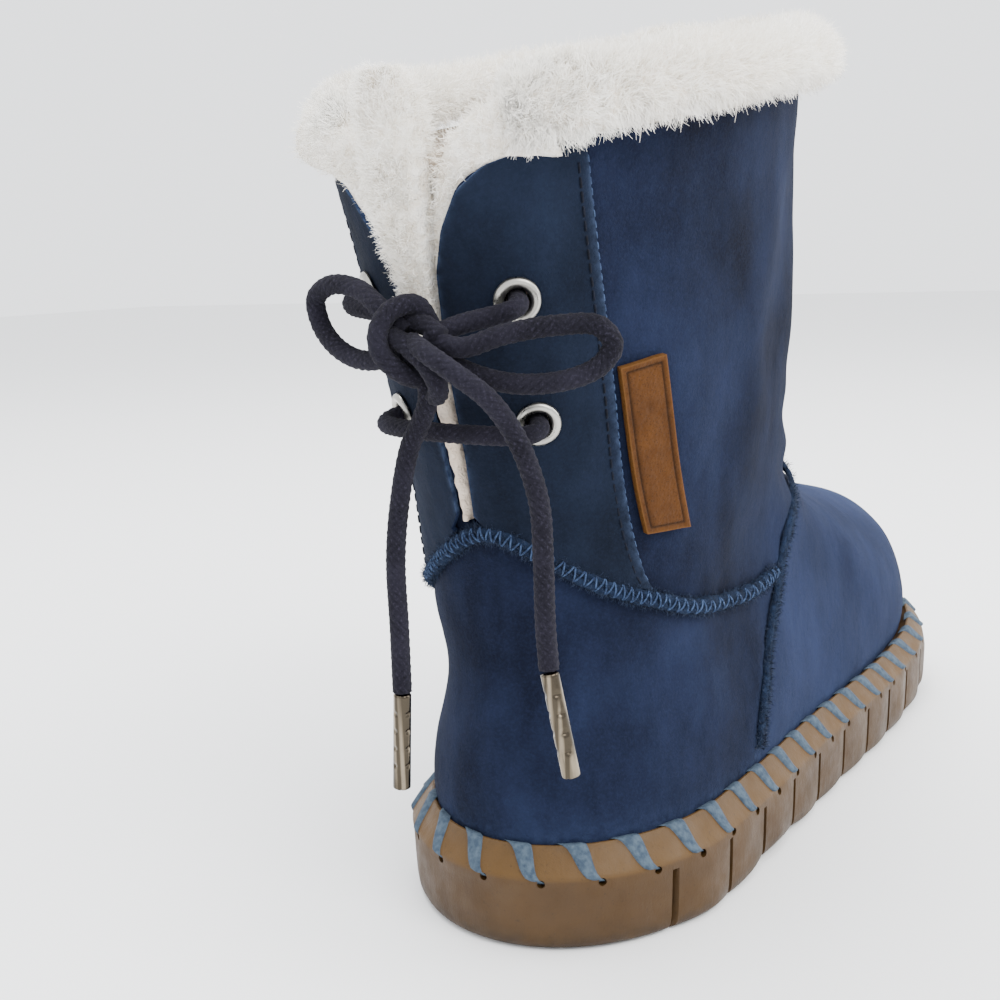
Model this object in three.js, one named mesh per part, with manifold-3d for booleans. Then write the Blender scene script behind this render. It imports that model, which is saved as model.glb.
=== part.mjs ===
// A right-foot mukluk boot: suede upper with a laced slit down its back, a shearling collar, and a
// gum rubber sole with flex grooves. Millimetres, +Z up, +Y to the toe, +X to the outer side of the
// foot. The origin is on the ground under the middle of the heel.
import * as THREE from "three";
import { mergeVertices } from "three/addons/utils/BufferGeometryUtils.js";
import Module from "manifold-3d";

const wasm = await Module();
wasm.setup();

// Driving sizes of the sole
const soleLength = 268;
const soleHeelReach = 40; // from the origin back to the sole's rear edge
const soleBallWidth = 106;
const soleSideHeight = 17.6; // from the ground up to the line of stitch holes
const rimRise = 6.2; // the bevelled rim above that line
const rimWidth = 4.6;
const toeSpring = 10.2;
const springStart = 129; // where the sole leaves the ground ahead of the ball
const springCurve = 1.8;
const soleHeelRound = 0.17; // shares of the sole's length that its round ends take
const soleToeRound = 0.25;
const grooveStart = -16;
const groovePitch = 20.3;
const grooveCount = 12;
const grooveWidth = 1.7;
const sideSlotDepth = 2.6;
const sideSlotTop = 15.6;
const crossGrooveDepth = 4.5;
const lugBulge = 1.1;
const archRise = 1.6; // the lugs under the arch stay this much off the ground
const archStart = 6;
const archEnd = 62;

// Driving sizes of the upper
const footLength = 258;
const footHeelReach = 36;
const shaftHeight = 198;
const ballWidth = 100;
const wall = 3;
const clearance = 0.3;
const slitMiddle = -4.5; // the slit lies this far off the middle of the back
const slitWidth = 11.2;
const slitBottom = 94.5;

// Driving sizes of what is on the upper and in it
const seamRadius = 2.2;
const seamRise = 0.3; // how far its middle stands off the upper, as a share of its radius
const eyestayThickness = 1.2;
const eyeletRadius = 4.9;
const eyeletHoleRadius = 2.6;
const eyeletTubeWall = 0.5;
const eyeletLip = 1.1;
const labelWidth = 11.6;
const labelLength = 41;
const labelThickness = 1.6;
const insoleThickness = 5;
const laceRadius = 2;
const agletRadius = 1.9;
const agletLength = 21.5;
const furHeight = 22;
const furDepth = 21;
const gussetHalfWidth = 12;
const gussetThickness = 4.5;
const gussetDrop = 6; // below the slit's foot
const gussetFootShare = 0.55; // its half width there, as a share of the half width above
const gussetHeightShare = 0.35; // its height above the slit's foot, as a share of the shaft's
const columnLock = { length: 5.5, radius: 2.2, droop: 1.2 };
const cuffLock = { length: 6.5, radius: 3, droop: 1.6 };
const lockRooting = 3; // how deep a lock's root lies in the fur

// How finely the solids are faceted
const ringCount = 28;
const levelStep = 0.65;
const soleTurns = 56;
const cordSides = 7;
const seamSides = 5;
const cuffStations = 24;
const cuffSides = 8;

// Reaches of the forms that cut through the upper's back
const backReach = 60;
const backDepth = 22;
const beyondEnds = 1000; // a distance along Y past either end of any section

// The sole's outline from rear to front, as shares of the sole's length and of the ball width, before
// its ends are rounded
const planOutline = [
  { along: 0, outer: 0.4, inner: 0.35 },
  { along: 0.13, outer: 0.41, inner: 0.365 },
  { along: 0.28, outer: 0.44, inner: 0.35 },
  { along: 0.43, outer: 0.462, inner: 0.36 },
  { along: 0.6, outer: 0.5, inner: 0.43 },
  { along: 0.74, outer: 0.515, inner: 0.485 },
  { along: 0.87, outer: 0.51, inner: 0.5 },
  { along: 1, outer: 0.49, inner: 0.55 },
];

// One row for each section of the upper, from the sole to the rim. along and up are shares of the
// foot's length and the shaft's height, for the section's rear and front ends. width is its half width
// as a share of the ball width, foot is how much of it follows the sole's outline rather than an
// oval, and heelRound and toeRound are the shares of its length that its round ends take.
const sectionColumns = [
  "backAlong",
  "backUp",
  "frontAlong",
  "frontUp",
  "width",
  "foot",
  "heelRound",
  "toeRound",
];
const upperSections = [
  [0.008, 0.106, 1.0, 0.106, 0.455, 1, 0.17, 0.26],
  [0.006, 0.152, 1.006, 0.163, 0.462, 1, 0.18, 0.26],
  [0.008, 0.192, 0.99, 0.228, 0.455, 1, 0.19, 0.28],
  [0.012, 0.227, 0.947, 0.281, 0.44, 1, 0.2, 0.3],
  [0.016, 0.262, 0.872, 0.325, 0.425, 1, 0.21, 0.32],
  [0.02, 0.293, 0.787, 0.36, 0.41, 0.9, 0.23, 0.34],
  [0.023, 0.328, 0.69, 0.392, 0.4, 0.75, 0.26, 0.36],
  [0.025, 0.363, 0.615, 0.425, 0.39, 0.5, 0.3, 0.38],
  [0.026, 0.404, 0.57, 0.475, 0.387, 0.25, 0.36, 0.41],
  [0.026, 0.452, 0.552, 0.54, 0.395, 0, 0.42, 0.45],
  [0.014, 0.525, 0.546, 0.63, 0.413, 0, 0.46, 0.48],
  [-0.012, 0.63, 0.544, 0.745, 0.435, 0, 0.49, 0.49],
  [-0.042, 0.75, 0.546, 0.874, 0.452, 0, 0.5, 0.5],
  [-0.078, 0.875, 0.552, 1.015, 0.468, 0, 0.5, 0.5],
].map((row) => Object.fromEntries(row.map((value, i) => [sectionColumns[i], value])));
const topLevel = upperSections.length - 1;

// Solids and geometries
function solidFrom(geometry) {
  const bare = geometry.clone();
  bare.deleteAttribute("normal");
  bare.deleteAttribute("uv");
  const merged = mergeVertices(bare, 1e-4);
  return new wasm.Manifold(
    new wasm.Mesh({
      numProp: 3,
      vertProperties: merged.attributes.position.array,
      triVerts: new Uint32Array(merged.index.array),
    }),
  );
}

function geometryFrom(solid) {
  const mesh = solid.getMesh();
  const positions = new Float32Array(mesh.numVert * 3);
  for (let i = 0; i < mesh.numVert; i++) {
    positions.set(mesh.vertProperties.subarray(i * mesh.numProp, i * mesh.numProp + 3), i * 3);
  }
  const geometry = new THREE.BufferGeometry();
  geometry.setAttribute("position", new THREE.BufferAttribute(positions, 3));
  geometry.setIndex(new THREE.BufferAttribute(mesh.triVerts, 1));
  geometry.computeVertexNormals();
  return geometry;
}

function geometryFromTriangles(points, triangles) {
  const geometry = new THREE.BufferGeometry();
  geometry.setAttribute(
    "position",
    new THREE.BufferAttribute(new Float32Array(points.flatMap((p) => [p.x, p.y, p.z])), 3),
  );
  geometry.setIndex(triangles.flat());
  return geometry;
}

// A wall of quads between each ring and the next; rings run anticlockwise seen from the last one.
function wallTriangles(ringTotal, count, joinEnds) {
  const triangles = [];
  const last = joinEnds ? ringTotal : ringTotal - 1;
  for (let r = 0; r < last; r++) {
    const low = r * count;
    const high = ((r + 1) % ringTotal) * count;
    for (let i = 0; i < count; i++) {
      const j = (i + 1) % count;
      triangles.push([low + i, low + j, high + j], [low + i, high + j, high + i]);
    }
  }
  return triangles;
}

// Closes a ring that is mirror-numbered about its first point, by rungs across it.
function rungTriangles(first, count, facingUp) {
  const triangles = [];
  for (let i = 0; i < count / 2; i++) {
    const a = first + i;
    const b = first + i + 1;
    const c = first + (count - i - 1);
    const d = first + ((count - i) % count);
    const pair = [];
    if (i > 0) pair.push([a, b, d]);
    if (c !== b) pair.push([b, c, d]);
    for (const [p, q, s] of pair) triangles.push(facingUp ? [p, q, s] : [p, s, q]);
  }
  return triangles;
}

function filledLoft(rings) {
  const count = rings[0].length;
  return solidFrom(
    geometryFromTriangles(rings.flat(), [
      ...wallTriangles(rings.length, count, false),
      ...rungTriangles(0, count, false),
      ...rungTriangles((rings.length - 1) * count, count, true),
    ]),
  );
}

function hollowLoft(outerRings, innerRings) {
  const rings = [...outerRings, ...innerRings.slice().reverse()];
  return solidFrom(
    geometryFromTriangles(rings.flat(), wallTriangles(rings.length, rings[0].length, true)),
  );
}

// Smooth interpolation between the rows of a table
function between(rows, level, key) {
  const i = Math.min(Math.max(Math.floor(level), 0), rows.length - 2);
  const t = level - i;
  const value = (k) => rows[Math.min(Math.max(k, 0), rows.length - 1)][key];
  const a = value(i - 1);
  const b = value(i);
  const c = value(i + 1);
  const d = value(i + 2);
  const bend = a * -0.5 + b * 1.5 - c * 1.5 + d * 0.5;
  const slope = (c - a) * 0.5;
  return b + t * (slope + t * (a - 2.5 * b + 2 * c - 0.5 * d + t * bend));
}

function smooth(t) {
  const s = Math.min(Math.max(t, 0), 1);
  return s * s * (3 - 2 * s);
}

function springAt(y) {
  const toeTip = soleLength - soleHeelReach;
  return toeSpring * Math.pow(Math.max(0, (y - springStart) / (toeTip - springStart)), springCurve);
}

// The sole's outline at a distance along Y: how far it reaches to the outer and the inner side
function planReach(y) {
  const along = Math.min(Math.max((y + soleHeelReach) / soleLength, 0), 1);
  let i = 0;
  while (i < planOutline.length - 2 && along > planOutline[i + 1].along) i++;
  const level = i + (along - planOutline[i].along) / (planOutline[i + 1].along - planOutline[i].along);
  return {
    outer: between(planOutline, level, "outer") * soleBallWidth,
    inner: between(planOutline, level, "inner") * soleBallWidth,
  };
}

// How far along a closed section a turn lies, from its rear (0) to its front (1), and how much of
// its full width is left there by its round ends
function sectionShare(turn, heelRound, toeRound) {
  const travel = turn <= 0.5 ? turn * 2 : 2 - turn * 2;
  const u = (1 - Math.cos(Math.PI * travel)) / 2;
  const heelEnd = Math.max(0, 1 - u / heelRound);
  const toeEnd = Math.max(0, 1 - (1 - u) / toeRound);
  const ends = Math.sqrt(1 - heelEnd * heelEnd) * Math.sqrt(1 - toeEnd * toeEnd);
  return { u, ends, outer: turn <= 0.5 };
}

// The outer face of the upper, at a level of the section table and a turn round the foot
function upperPoint(level, turn) {
  const value = (key) => between(upperSections, level, key);
  const { u, ends, outer } = sectionShare(turn, value("heelRound"), value("toeRound"));
  const backY = value("backAlong") * footLength - footHeelReach;
  const frontY = value("frontAlong") * footLength - footHeelReach;
  const y = backY + (frontY - backY) * u;
  const z = shaftHeight * (value("backUp") + (value("frontUp") - value("backUp")) * u);
  const reach = planReach(y);
  const foot = value("foot");
  const middle = ((reach.outer - reach.inner) / 2) * foot;
  const full = (reach.outer + reach.inner) / soleBallWidth;
  const half = value("width") * ballWidth * (foot * full + 1 - foot) * ends;
  return new THREE.Vector3(middle + (outer ? half : -half), y, z + springAt(y));
}

function upperNormal(level, turn) {
  const step = 0.02;
  const low = Math.max(level - step, 0);
  const high = Math.min(level + step, topLevel);
  const ahead = upperPoint(level, (turn + step / 4) % 1);
  const behind = upperPoint(level, (turn - step / 4 + 1) % 1);
  const alongLevel = upperPoint(high, turn).sub(upperPoint(low, turn));
  return ahead.sub(behind).cross(alongLevel).normalize();
}

function onUpper(level, turn, offset) {
  return upperPoint(level, turn).addScaledVector(upperNormal(level, turn), offset);
}

function upperRings(offset, from, to, step) {
  const rings = [];
  const total = Math.round((to - from) / step);
  for (let k = 0; k <= total; k++) {
    const level = from + ((to - from) * k) / total;
    const ring = [];
    for (let i = 0; i < ringCount; i++) ring.push(onUpper(level, i / ringCount, offset));
    rings.push(ring);
  }
  return rings;
}

function upperForm(offset) {
  return filledLoft(upperRings(offset, 0, topLevel, levelStep));
}

// The level and turn of the point of the upper's outer side at a distance along Y and a height
function placeAt(y, z) {
  let low = 0;
  let high = topLevel;
  let u = 0;
  for (let k = 0; k < 40; k++) {
    const level = (low + high) / 2;
    const value = (key) => between(upperSections, level, key);
    const backY = value("backAlong") * footLength - footHeelReach;
    const frontY = value("frontAlong") * footLength - footHeelReach;
    u = Math.min(Math.max((y - backY) / (frontY - backY), 0), 1);
    const rise = value("backUp") + (value("frontUp") - value("backUp")) * u;
    if (shaftHeight * rise + springAt(backY + (frontY - backY) * u) < z) low = level;
    else high = level;
  }
  return { level: low, turn: Math.acos(1 - 2 * u) / (2 * Math.PI) };
}

// The level and turn of the point of the upper's back at a distance across and a height
function placeOnBack(x, z) {
  let nearBack = 0;
  let nearSide = 0.24;
  let place = placeAt(-beyondEnds, z);
  for (let k = 0; k < 40; k++) {
    const turn = (nearBack + nearSide) / 2;
    const signed = x < 0 ? 1 - turn : turn;
    let low = 0;
    let high = topLevel;
    for (let n = 0; n < 30; n++) {
      const level = (low + high) / 2;
      if (upperPoint(level, signed).z < z) low = level;
      else high = level;
    }
    place = { level: low, turn: signed };
    if (Math.abs(upperPoint(low, signed).x) < Math.abs(x)) nearBack = turn;
    else nearSide = turn;
  }
  return place;
}

// A flat outline of points, each [across, up] or [along, up], run out along an axis
function prismAcross(points, fromX, toX) {
  const shape = new THREE.Shape(points.map(([y, z]) => new THREE.Vector2(y, z)));
  const geometry = new THREE.ExtrudeGeometry(shape, { depth: toX - fromX, bevelEnabled: false });
  const axes = new THREE.Matrix4().makeBasis(
    new THREE.Vector3(0, 1, 0),
    new THREE.Vector3(0, 0, 1),
    new THREE.Vector3(1, 0, 0),
  );
  geometry.applyMatrix4(axes.premultiply(new THREE.Matrix4().makeTranslation(fromX, 0, 0)));
  return solidFrom(geometry);
}

function prismAlong(points, fromY, toY) {
  const shape = new THREE.Shape(points.map(([x, z]) => new THREE.Vector2(x, z)));
  const geometry = new THREE.ExtrudeGeometry(shape, { depth: toY - fromY, bevelEnabled: false });
  const axes = new THREE.Matrix4().makeBasis(
    new THREE.Vector3(1, 0, 0),
    new THREE.Vector3(0, 0, 1),
    new THREE.Vector3(0, -1, 0),
  );
  geometry.applyMatrix4(axes.premultiply(new THREE.Matrix4().makeTranslation(0, toY, 0)));
  return solidFrom(geometry);
}

// Half the slit's outline: its half width as a share of slitWidth, and its height as a share of the
// shaft's height, from its foot to the rounded corner of the flap
const slitOutline = [
  { half: 0.12, up: 0 },
  { half: 0.18, up: 0.02 },
  { half: 0.25, up: 0.09 },
  { half: 0.31, up: 0.17 },
  { half: 0.39, up: 0.24 },
  { half: 0.5, up: 0.29 },
  { half: 0.76, up: 0.332 },
  { half: 1.16, up: 0.368 },
  { half: 1.65, up: 0.39 },
  { half: 2.2, up: 0.402 },
  { half: 2.2, up: 0.52 },
];
const slitHalf = slitOutline.map(({ half, up }) => [half * slitWidth, slitBottom + up * shaftHeight]);
const slitCut = prismAlong(
  [
    ...slitHalf.map(([half, z]) => [slitMiddle + half, z]),
    ...slitHalf.slice().reverse().map(([half, z]) => [slitMiddle - half, z]),
  ],
  -footHeelReach - backReach,
  -footHeelReach + backDepth,
);

// The eyelets: which side, how far across from the middle of the back, and how high
const eyelets = [
  { name: "eyelet_lateral_upper", across: 15.2, height: 146 },
  { name: "eyelet_lateral_lower", across: 14.8, height: 120 },
  { name: "eyelet_medial_upper", across: -20.6, height: 148 },
  { name: "eyelet_medial_lower", across: -18.2, height: 121 },
].map(({ name, across, height }) => {
  const { level, turn } = placeOnBack(across, height);
  return { name, foot: upperPoint(level, turn), out: upperNormal(level, turn) };
});

function lathed(profile, segments) {
  return new THREE.LatheGeometry(
    profile.map(([radius, height]) => new THREE.Vector2(radius, height)),
    segments,
  );
}

// Turns geometry made along +Y to stand at a point along a direction
function standing(geometry, foot, direction) {
  const turned = new THREE.Quaternion().setFromUnitVectors(new THREE.Vector3(0, 1, 0), direction);
  return geometry.clone().applyQuaternion(turned).translate(foot.x, foot.y, foot.z);
}

const eyeletBore = eyeletHoleRadius + eyeletTubeWall + clearance;
const eyeletSeat = clearance + eyestayThickness;
let eyeletCuts = null;
for (const { foot, out } of eyelets) {
  const drill = lathed([[0, -12], [eyeletBore, -12], [eyeletBore, 12], [0, 12]], 14);
  const solid = solidFrom(standing(drill, foot, out));
  eyeletCuts = eyeletCuts ? eyeletCuts.add(solid) : solid;
}

// A shell that follows the upper, between two offsets from its outer face
function upperShell(outer, inner) {
  return hollowLoft(
    upperRings(outer, 0, topLevel, levelStep),
    upperRings(inner, 0, topLevel, levelStep),
  );
}

const upperSolid = upperShell(0, -wall)
  .subtract(slitCut)
  .subtract(eyeletCuts);

const part = new THREE.Group();

function addPiece(name, solid, color, roughness, metalness) {
  const mesh = new THREE.Mesh(
    geometryFrom(solid),
    new THREE.MeshStandardMaterial({ color, roughness, metalness }),
  );
  mesh.name = name;
  part.add(mesh);
}

const suedeBlue = 0x2b3f63;
addPiece("upper", upperSolid, suedeBlue, 0.95, 0);

// The sole's outline at an inset from its widest line
function solePoint(turn, inset, z, bulge) {
  const { u, ends, outer } = sectionShare(turn, soleHeelRound, soleToeRound);
  const y = inset - soleHeelReach + (soleLength - inset * 2) * u;
  const reach = planReach(y);
  const middle = (reach.outer - reach.inner) / 2;
  const lug = y > grooveStart ? Math.abs(Math.sin((Math.PI * (y - grooveStart)) / groovePitch)) : 0;
  const half = ((reach.outer + reach.inner) / 2 - inset + bulge * lug) * ends;
  const arch = Math.min(Math.max((y - archStart) / (archEnd - archStart), 0), 1);
  const lift = z < crossGrooveDepth ? archRise * Math.pow(Math.sin(Math.PI * arch), 2) : 0;
  return new THREE.Vector3(middle + (outer ? half : -half), y, z + lift + springAt(y));
}

const soleTop = soleSideHeight + rimRise;
function soleForm(layers) {
  return filledLoft(
    layers.map(({ inset, z, bulge }) =>
      Array.from({ length: soleTurns }, (_, i) => solePoint(i / soleTurns, inset, z, bulge)),
    ),
  );
}
const soleBody = soleForm([
  { inset: 2.6, z: 0, bulge: 0 },
  { inset: 0.6, z: 3, bulge: lugBulge },
  { inset: 0.3, z: sideSlotTop - 2, bulge: lugBulge },
  { inset: 0, z: soleSideHeight, bulge: 0 },
  { inset: rimWidth, z: soleTop, bulge: 0 },
]);
const seatWall = upperRings(clearance, 0, 2, levelStep);
const seatFloor = seatWall[0].map((p) => new THREE.Vector3(p.x, p.y, p.z - 2 * clearance));

// Each flex groove runs across the bottom and up both sides
const grooveCore = soleForm([
  { inset: sideSlotDepth, z: crossGrooveDepth, bulge: 0 },
  { inset: sideSlotDepth, z: soleTop + 5, bulge: 0 },
]);
let soleSolid = soleBody.subtract(filledLoft([seatFloor, ...seatWall]));
for (let k = 0; k < grooveCount; k++) {
  const y = grooveStart + k * groovePitch;
  const top = sideSlotTop + springAt(y);
  const slab = new THREE.BoxGeometry(soleBallWidth * 1.5, grooveWidth, top + 5);
  slab.translate(0, y, (top - 5) / 2);
  soleSolid = soleSolid.subtract(solidFrom(slab).subtract(grooveCore));
}
addPiece("outsole", soleSolid, 0x8a6239, 0.6, 0);

// Insole, inside the foot of the upper
const insoleFoot = upperRings(-wall - clearance, 0, 1, 1)[0];
const insoleTop = insoleFoot.map((p) => new THREE.Vector3(p.x, p.y, p.z + insoleThickness));
addPiece("insole", filledLoft([insoleFoot, insoleTop]), 0xd8cdb8, 0.95, 0);

// A raised seam: a round band laid along a course of the upper and cut flat where it lies
function courseOf(rows) {
  return rows.map(({ along, up }) => {
    const y = along * footLength - footHeelReach;
    return placeAt(y, up * shaftHeight + springAt(y));
  });
}

function seamBand(course, stations) {
  const rings = [];
  const placed = (share) => {
    const at = share * (course.length - 1);
    const turn = between(course, at, "turn");
    return { level: between(course, at, "level"), turn: (turn + 1) % 1 };
  };
  for (let k = 0; k <= stations; k++) {
    const share = k / stations;
    const { level, turn } = placed(share);
    const before = placed(Math.max(share - 0.004, 0));
    const after = placed(Math.min(share + 0.004, 1));
    const normal = upperNormal(level, turn);
    const along = upperPoint(after.level, after.turn).sub(upperPoint(before.level, before.turn));
    const across = normal.clone().cross(along).normalize();
    const middle = onUpper(level, turn, seamRadius * seamRise);
    const ring = [];
    for (let i = 0; i < seamSides; i++) {
      const angle = ((i + 0.25) / seamSides) * 2 * Math.PI;
      ring.push(
        middle
          .clone()
          .addScaledVector(across, seamRadius * Math.cos(angle))
          .addScaledVector(normal, seamRadius * Math.sin(angle)),
      );
    }
    rings.push(ring);
  }
  return filledLoft(rings);
}

const grownUpper = upperForm(clearance);

// Course of the seam round the ankle, from the back towards the front
const ankleCourse = courseOf([
  { along: 0.036, up: 0.45 },
  { along: 0.064, up: 0.413 },
  { along: 0.103, up: 0.388 },
  { along: 0.169, up: 0.361 },
  { along: 0.285, up: 0.344 },
  { along: 0.352, up: 0.352 },
]);
const ankleBack = { level: placeAt(-beyondEnds, 0.476 * shaftHeight).level, turn: 0 };
const mirrored = (course) => course.map(({ level, turn }) => ({ level, turn: -turn }));
const ankleRound = [...ankleCourse.slice().reverse(), ankleBack, ...mirrored(ankleCourse)];
addPiece("ankle_seam", seamBand(ankleRound, 26).subtract(grownUpper), 0x4c6486, 0.9, 0);

// Course of the toe panel's seam, from the sole up and over the front of the ankle
const vampCourse = courseOf([
  { along: 0.27, up: 0.139 },
  { along: 0.274, up: 0.165 },
  { along: 0.292, up: 0.208 },
  { along: 0.314, up: 0.254 },
  { along: 0.352, up: 0.309 },
  { along: 0.376, up: 0.359 },
  { along: 0.411, up: 0.404 },
  { along: 0.475, up: 0.445 },
]);
const vampFront = { level: placeAt(beyondEnds, 0.49 * shaftHeight).level, turn: 0.5 };
const onInnerSide = (course) => course.map(({ level, turn }) => ({ level, turn: 1 - turn }));
const vampRound = [...vampCourse, vampFront, ...onInnerSide(vampCourse).reverse()];
addPiece("vamp_seam", seamBand(vampRound, 32).subtract(grownUpper), 0x33486b, 0.95, 0);

// The eyelet panels: a second layer of suede from the slit to a seam on the shaft's side
const panelEdge = [
  { along: 0.095, up: 0.42 },
  { along: 0.053, up: 0.623 },
  { along: 0.027, up: 0.742 },
  { along: -0.012, up: 0.905 },
];
const edgePoints = panelEdge.map(({ along, up }) => [
  along * footLength - footHeelReach,
  up * shaftHeight,
]);
const panelRegion = [
  ...edgePoints,
  [edgePoints[3][0] - 40, edgePoints[3][1] - 9],
  [-footHeelReach - 50, slitBottom + 8],
  [-footHeelReach, slitBottom + 5.4],
  [-footHeelReach + 12, slitBottom - 0.6],
];
const panelShell = upperForm(clearance + eyestayThickness).subtract(grownUpper);
for (const [name, fromX, toX] of [
  ["eyestay_lateral", slitMiddle + 1, ballWidth],
  ["eyestay_medial", -ballWidth, slitMiddle - 1],
]) {
  const panel = panelShell.intersect(prismAcross(panelRegion, fromX, toX)).subtract(slitCut);
  addPiece(name, panel.subtract(eyeletCuts), 0x24375a, 0.95, 0);
}

// Fur-faced gusset: a slab behind the slit and the fur that fills the slit and stands above it
const slabTop = slitBottom + gussetHeightShare * shaftHeight;
const gussetSlab = upperForm(-wall - clearance)
  .subtract(upperForm(-wall - clearance - gussetThickness))
  .intersect(
    prismAlong(
      [
        [slitMiddle - gussetHalfWidth * gussetFootShare, slitBottom - gussetDrop],
        [slitMiddle + gussetHalfWidth * gussetFootShare, slitBottom - gussetDrop],
        [slitMiddle + gussetHalfWidth, slabTop],
        [slitMiddle - gussetHalfWidth, slabTop],
      ],
      -footHeelReach - backReach,
      -footHeelReach + backDepth,
    ),
  );

// The fur column, from the slit's foot to above the rim: half width and half depth as shares of
// the slit's width, and how far it stands out of the back, in shares of the wall
const furColumn = [
  { half: 0.06, depth: 0.3, out: 0.2, up: 0.012 },
  { half: 0.16, depth: 0.36, out: 0, up: 0.045 },
  { half: 0.19, depth: 0.42, out: 0, up: 0.1 },
  { half: 0.25, depth: 0.46, out: 0, up: 0.17 },
  { half: 0.32, depth: 0.5, out: 0.1, up: 0.24 },
  { half: 0.42, depth: 0.55, out: 0.2, up: 0.29 },
  { half: 0.6, depth: 0.62, out: 0.2, up: 0.34 },
  { half: 0.68, depth: 0.66, out: -0.5, up: 0.39 },
  { half: 0.68, depth: 0.66, out: -1, up: 0.43 },
  { half: 0.62, depth: 0.55, out: -1.2, up: 0.46 },
  { half: 0.3, depth: 0.3, out: -1.2, up: 0.485 },
];
function ovalRing(middle, across, away, half, depth, points) {
  return Array.from({ length: points }, (_, i) => {
    const angle = (i / points) * 2 * Math.PI;
    return middle
      .clone()
      .addScaledVector(across, half * Math.cos(angle))
      .addScaledVector(away, depth * Math.sin(angle));
  });
}
const sideways = new THREE.Vector3(1, 0, 0);
const forward = new THREE.Vector3(0, 1, 0);
const columnRings = furColumn.map(({ half, depth, out, up }) => {
  const z = slitBottom + up * shaftHeight;
  const rim = upperPoint(topLevel, 0);
  const lean = (rim.y - upperPoint(topLevel - 1, 0).y) / (rim.z - upperPoint(topLevel - 1, 0).z);
  const level = placeAt(-beyondEnds, Math.min(z, rim.z)).level;
  const y = upperPoint(level, 0).y + Math.max(0, z - rim.z) * lean;
  const middle = new THREE.Vector3(slitMiddle, y + wall * (0.6 - out), z);
  return ovalRing(middle, sideways, forward, half * slitWidth, depth * slitWidth, 10);
});

const lockSides = 5;

// A lock of fur: a pointed tuft that leans over towards its tip
function furLock(root, direction, { length, radius, droop }) {
  const level = new THREE.Vector3(0, 0, 1).cross(direction);
  const across = (level.lengthSq() < 0.01 ? sideways.clone() : level).normalize();
  const away = direction.clone().cross(across).normalize();
  const stages = [
    { share: 0, size: 1 },
    { share: 0.55, size: 0.82 },
    { share: 1, size: 0.22 },
  ];
  return filledLoft(
    stages.map(({ share, size }) => {
      const middle = root.clone().addScaledVector(direction, length * share);
      middle.z -= droop * share * share;
      return ovalRing(middle, across, away, radius * size, radius * size, lockSides);
    }),
  );
}

// Spread numbers that repeat from run to run
function spread(k) {
  const v = Math.sin(k * 12.9898) * 43758.5453;
  return v - Math.floor(v);
}

let flangeRoom = null;
for (const { foot, out } of eyelets) {
  const room = lathed([[0, -14], [eyeletRadius, -14], [eyeletRadius, 6], [0, 6]], 12);
  const solid = solidFrom(standing(room, foot, out));
  flangeRoom = flangeRoom ? flangeRoom.add(solid) : solid;
}
const columnLocks = 3;
let gussetSolid = filledLoft(columnRings).add(gussetSlab);
for (let k = 0; k < columnLocks; k++) {
  const ring = columnRings[6 + (k % 4)];
  const root = ring[Math.floor(spread(k + 3) * 4) + 6].clone();
  const middle = new THREE.Vector3(slitMiddle, ring[0].y, root.z);
  const direction = root.clone().sub(middle).normalize();
  root.addScaledVector(direction, -lockRooting);
  direction.z = spread(k) - 0.3;
  gussetSolid = gussetSolid.add(furLock(root, direction.normalize(), columnLock));
}

// Deep fur round the collar. Sections from the slit's outer side round the front to its inner side:
// turn round the rim, how far the fur's middle lies outside the wall and above the rim as shares of
// its depth and height, and its size there
const cuffSections = [
  { turn: 0.062, out: 0.0, up: 0.26, size: 0.72 },
  { turn: 0.085, out: 0.06, up: 0.24, size: 0.9 },
  { turn: 0.14, out: 0.06, up: 0.26, size: 0.98 },
  { turn: 0.25, out: 0.05, up: 0.26, size: 0.94 },
  { turn: 0.4, out: 0.08, up: 0.27, size: 1 },
  { turn: 0.5, out: 0.1, up: 0.27, size: 1.05 },
  { turn: 0.6, out: 0.06, up: 0.27, size: 1 },
  { turn: 0.75, out: -0.05, up: 0.26, size: 0.95 },
  { turn: 0.86, out: -0.12, up: 0.25, size: 0.95 },
  { turn: 0.9, out: -0.12, up: 0.24, size: 0.9 },
  { turn: 0.924, out: -0.08, up: 0.25, size: 0.72 },
];
const cuffFrames = Array.from({ length: cuffStations + 1 }, (_, k) => {
  const at = (k / cuffStations) * (cuffSections.length - 1);
  const turn = between(cuffSections, at, "turn");
  const normal = upperNormal(topLevel, turn).setZ(0).normalize();
  const ends = Math.min(1, 0.55 + 0.25 * Math.min(k, cuffStations - k));
  const lumps = 1 + 0.05 * Math.sin(k * 1.9) + 0.04 * Math.sin(k * 0.8);
  const size = between(cuffSections, at, "size") * ends * lumps;
  const middle = upperPoint(topLevel, turn)
    .addScaledVector(normal, between(cuffSections, at, "out") * furDepth - wall / 2);
  middle.z += between(cuffSections, at, "up") * furHeight;
  return { middle, normal, size };
});
const upward = new THREE.Vector3(0, 0, 1);
const cuffRings = cuffFrames.map(({ middle, normal, size }, k) =>
  ovalRing(middle, upward, normal, (furHeight / 2) * size, (furDepth / 2) * size, cuffSides).map((p, i) =>
    p.sub(middle).multiplyScalar(1 + 0.07 * (spread(k * cuffSides + i) - 0.5)).add(middle),
  ),
);
let cuffSolid = filledLoft(cuffRings);
const lockCount = 9;
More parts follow.
